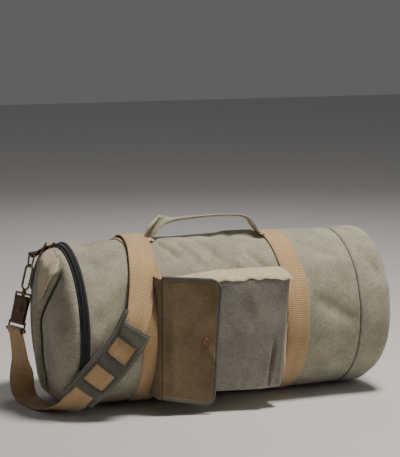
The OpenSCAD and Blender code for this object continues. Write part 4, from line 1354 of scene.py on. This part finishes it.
def add_end_set(end, side):
    mirrored = np.array([side, 1, 1.0])
    # the anchor tab, from the barrel round the ring's bar
    path = smooth_path(np.array([[-262, 80, 275.8], [-272, 81, 276.2], [-283, 82, 277.6],
        [-294, 82, 278.4], [-306, 82, 275.9], [-318, 82, 271.2],
                                 [-327, 82, 268.8], [-331.7, 82, 267.1], [-332.6, 82, 264.2], [-330.4, 82,
                                     261.8], [-326, 82, 262.4], [-316, 82, 267.0],
                                 [-305, 82, 271.6], [-296, 82, 274.0]]) / 1000) * mirrored
    lean = np.interp(np.linspace(0, 1, len(path)), [0, 0.30, 0.50, 1], [-0.60, -0.45, 0.0, -0.1])
    across = spread(0 * lean, np.cos(lean), np.sin(lean))
    size = np.interp(np.linspace(0, 1, len(path)), [0, 0.03, 0.10, 1], [0.55, 0.85, 1, 1])
    tab, width, normal = strap_along(f"{end}_anchor_leather", path, across, 0.011, 0.0026, "tab_leather",
        size)
    dress(tab, "bag", "leather", f"{end}_anchor_tab")
    outward = normal * np.sign(normal[20, 2])
    sewn = slice(4, 42)
    rows = [stitches("row", path[sewn] + width[sewn] * s + outward[sewn] * 0.0013, outward[sewn],
        "thread_tan", *FINEST) for s in (-0.0088, 0.0088)]
    dress(joined(f"{end}_anchor_stitching", rows), "bag", "leather")
    heads = []
    for s in (-0.0055, 0.0055):
        k = 26
        heads.append(dome(path[k] + width[k] * s + outward[k] * 0.0012, outward[k], 0.0028, 0.0016,
            "brass", "head"))
    dress(joined(f"{end}_tab_rivet_heads", heads), "bag", "brass", f"{end}_tab_rivets")

    # the chape: one strip folded round the loop's lower bar and sewn to itself
    loop = [[-2.0, 0, -61], [-2.1, 0, -50], [-2.3, 0, -36], [-2.4, 0, -24], [-3.0, 0, -18.5],
        [-3.7, 0, -14.5], [-2.4, 0, -10.9], [0, 0, -10.1],
            [2.4, 0, -10.9], [3.7, 0, -14.5], [3.0, 0, -18.5], [2.0, 0, -24], [1.8, 0, -36], [1.7, 0,
                -50], [1.7, 0, -61]]
    path = hang(smooth_path(loop), side)
    level = hang([[0, 1, 0]], side)[0] - hang([[0, 0, 0]], side)[0]
    size = 0.985 - 0.05 * np.exp(-((np.linspace(0, 1, len(path)) - 0.5) / 0.10) ** 2)
    chape, width, normal = strap_along(f"{end}_chape_leather", path, level / np.linalg.norm(level), 0.021,
        0.0030, "leather", size)
    dress(chape, "bag", "leather", f"{end}_chape")
    outward = normal * np.sign(np.dot(normal[10], hang([[-1, 0, 0]], side)[0] - hang([[0, 0, 0]], side)[0]))
    rows = []
    for part in (slice(3, 30), slice(len(path) - 30, len(path) - 3)):
        for s in (-0.0178, 0.0178):
            rows.append(stitches("row", path[part] + width[part] * s + outward[part] * 0.0015,
                outward[part], "thread_tan", *MEDIUM))
        at = path[part][:1] if part.start == 3 else path[part][-1:]
        line = at + np.linspace(-0.0165, 0.0165, 40)[:, None] * width[10]
        up = outward[10] if part.start == 3 else outward[-10]
        rows.append(stitches("row", line + up * 0.0015, rows_of(up, 40), "thread_tan", *MEDIUM))
    dress(joined(f"{end}_chape_stitching", rows), "bag", "leather")

    # the strap's end, folded over the roller
    loop = [[0.9, 0, -80.0], [2.2, 0, -77.2], [4.2, 0, -74.4], [4.75, 0, -71.6], [3.3, 0, -68.4],
        [0, 0, -67.1],
            [-3.3, 0, -68.4], [-4.75, 0, -71.6], [-4.2, 0, -74.4], [-2.2, 0, -77.2], [-0.9, 0, -80.0]]
    path = hang(smooth_path(loop), side)
    fold, width, normal = strap_along(f"{end}_strap_fold", path, level / np.linalg.norm(level), 0.0208,
        0.0024, "webbing")
    dress(fold, "bag", "webbing")


def add_zip_parts():
    rows = np.array([[-310.3, 50, 290.5], [-321, 50, 270], [-331, 50, 248], [-337.5, 50, 224],
        [-340, 50, 207]]) / 1000
    t = np.linspace(0, 1, 48)
    path = spline(rows, t * (len(rows) - 1))
    top, down = rows[0], (rows[1] - rows[0]) / np.linalg.norm(rows[1] - rows[0])
    out = np.array([down[2], 0, -down[0]])
    size = np.minimum(1, 0.55 + 5 * np.minimum(t, 1 - t)) * (0.86 + 0.14 * smooth_step(0.1, 0.5, t))
    pull, width, normal = strap_along("zip_pull_leather", path, np.array([0, 1.0, 0]), 0.0055, 0.0022,
        "tab_leather", size)
    dress(pull, "zip_pull", "leather", "zip_pull")
    outward = normal * np.sign(np.dot(normal[5], out))
    rows = [stitches("row", (path + width * s + outward * 0.0011)[3:-3], outward[3:-3], "thread_tan",
        0.0032, 0.0022, 0.0003) for s in (-0.0040, 0.0040)]
    dress(joined("zip_pull_stitching", rows), "zip_pull", "leather")

    # slider: a lozenge with flared wings on the rim, a bridge above it and a ring through the pull
    phi = -math.asin(0.050 / 0.1445)
    here = rim_point(0.0, 0.0, phi)
    up = rim_point(0.0, 0.001, phi) - here
    up = unit(up)
    side = rim_point(0.001, 0.0, phi) - here
    side = unit(side)
    along = np.cross(up, side)
    low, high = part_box("zip_slider")
    centre = (np.array(low) + np.array(high)) / 2
    A, B = net(np.linspace(-1, 1, 25), np.linspace(0, 2 * math.pi, 33)[:-1])
    flare = (0.72 + 0.28 * A ** 2) * np.sqrt(np.clip(1 - np.abs(A) ** 7, 0.02, 1))
    rounded = lambda value: np.sign(value) * np.abs(value) ** 0.55
    P = (centre + A[..., None] * 0.0062 * along + (rounded(np.cos(B)) * 0.0031 * flare)[..., None] * side
         + (rounded(np.sin(B)) * 0.0019 * flare)[..., None] * up)
    UV = spread(A * 0.006, B * 0.002)
    body = close_up(add_grid("body", P, UV, ["brass"], wrap=True))
    turns = np.linspace(0, math.pi, 20)
    ring = oval(0.0006, 0.0009, 8)
    arch = centre + np.outer(np.cos(turns) * 0.0042, along) + np.outer(0.0016 + np.sin(turns) * 0.0018, up)
    bridge = sweep("bridge", arch, rows_of(side, 20) * 2.0, rows_of(up, 20), ring, "brass")
    dress(joined("zip_slider_body", [body, bridge]), "zip_slider", "zip_teeth", "zip_slider")
    hole = top + 0.0028 * down
    a = np.linspace(0, 2 * math.pi, 36, endpoint=False)
    grip = centre + 0.0030 * up
    mid = (hole + grip) / 2
    major = hole - grip
    reach = np.linalg.norm(major) / 2 + 0.0012
    major = unit(major)
    minor = np.cross(major, [0, 1.0, 0])
    wire = mid + np.outer(np.cos(a) * reach, major) + np.outer(np.sin(a) * 0.0034, minor)
    loop = oval(0.00065, 0.00065, 8)
    radial = np.outer(np.cos(a), major) + np.outer(np.sin(a), minor)
    link = sweep("zip_pull_ring", wire, rows_of([0, 1.0, 0], 36), radial, loop, "brass", closed=True)
    dress(link, "zip_pull", "brass")


def paint_nodes():
    """The hardware that stays as it is in the part gets its metal."""
    kept = {"snap_cap": "snap_brown", "snap_stud": "brass", "band_rivets": "brass"}
    for end in ("front", "rear"):
        for part in ("d_ring", "snap_hook", "hook_gate", "strap_loop", "chape_rivet", "buckle",
            "buckle_roller"):
            kept[f"{end}_{part}"] = "brass"
    for node, paint in kept.items():
        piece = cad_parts[node]
        piece.data.materials.clear()
        piece.data.materials.append(PAINTS[paint])
        if not piece.data.uv_layers.get("cloth"):
            piece.data.uv_layers.new(name="cloth")


add_camera()
add_studio()
add_barrel()
add_bands()
add_zipped_end()
add_handle()
add_pocket()
add_flap()
add_strap()
add_end_set("front", 1)
add_end_set("rear", -1)
add_zip_parts()
paint_nodes()
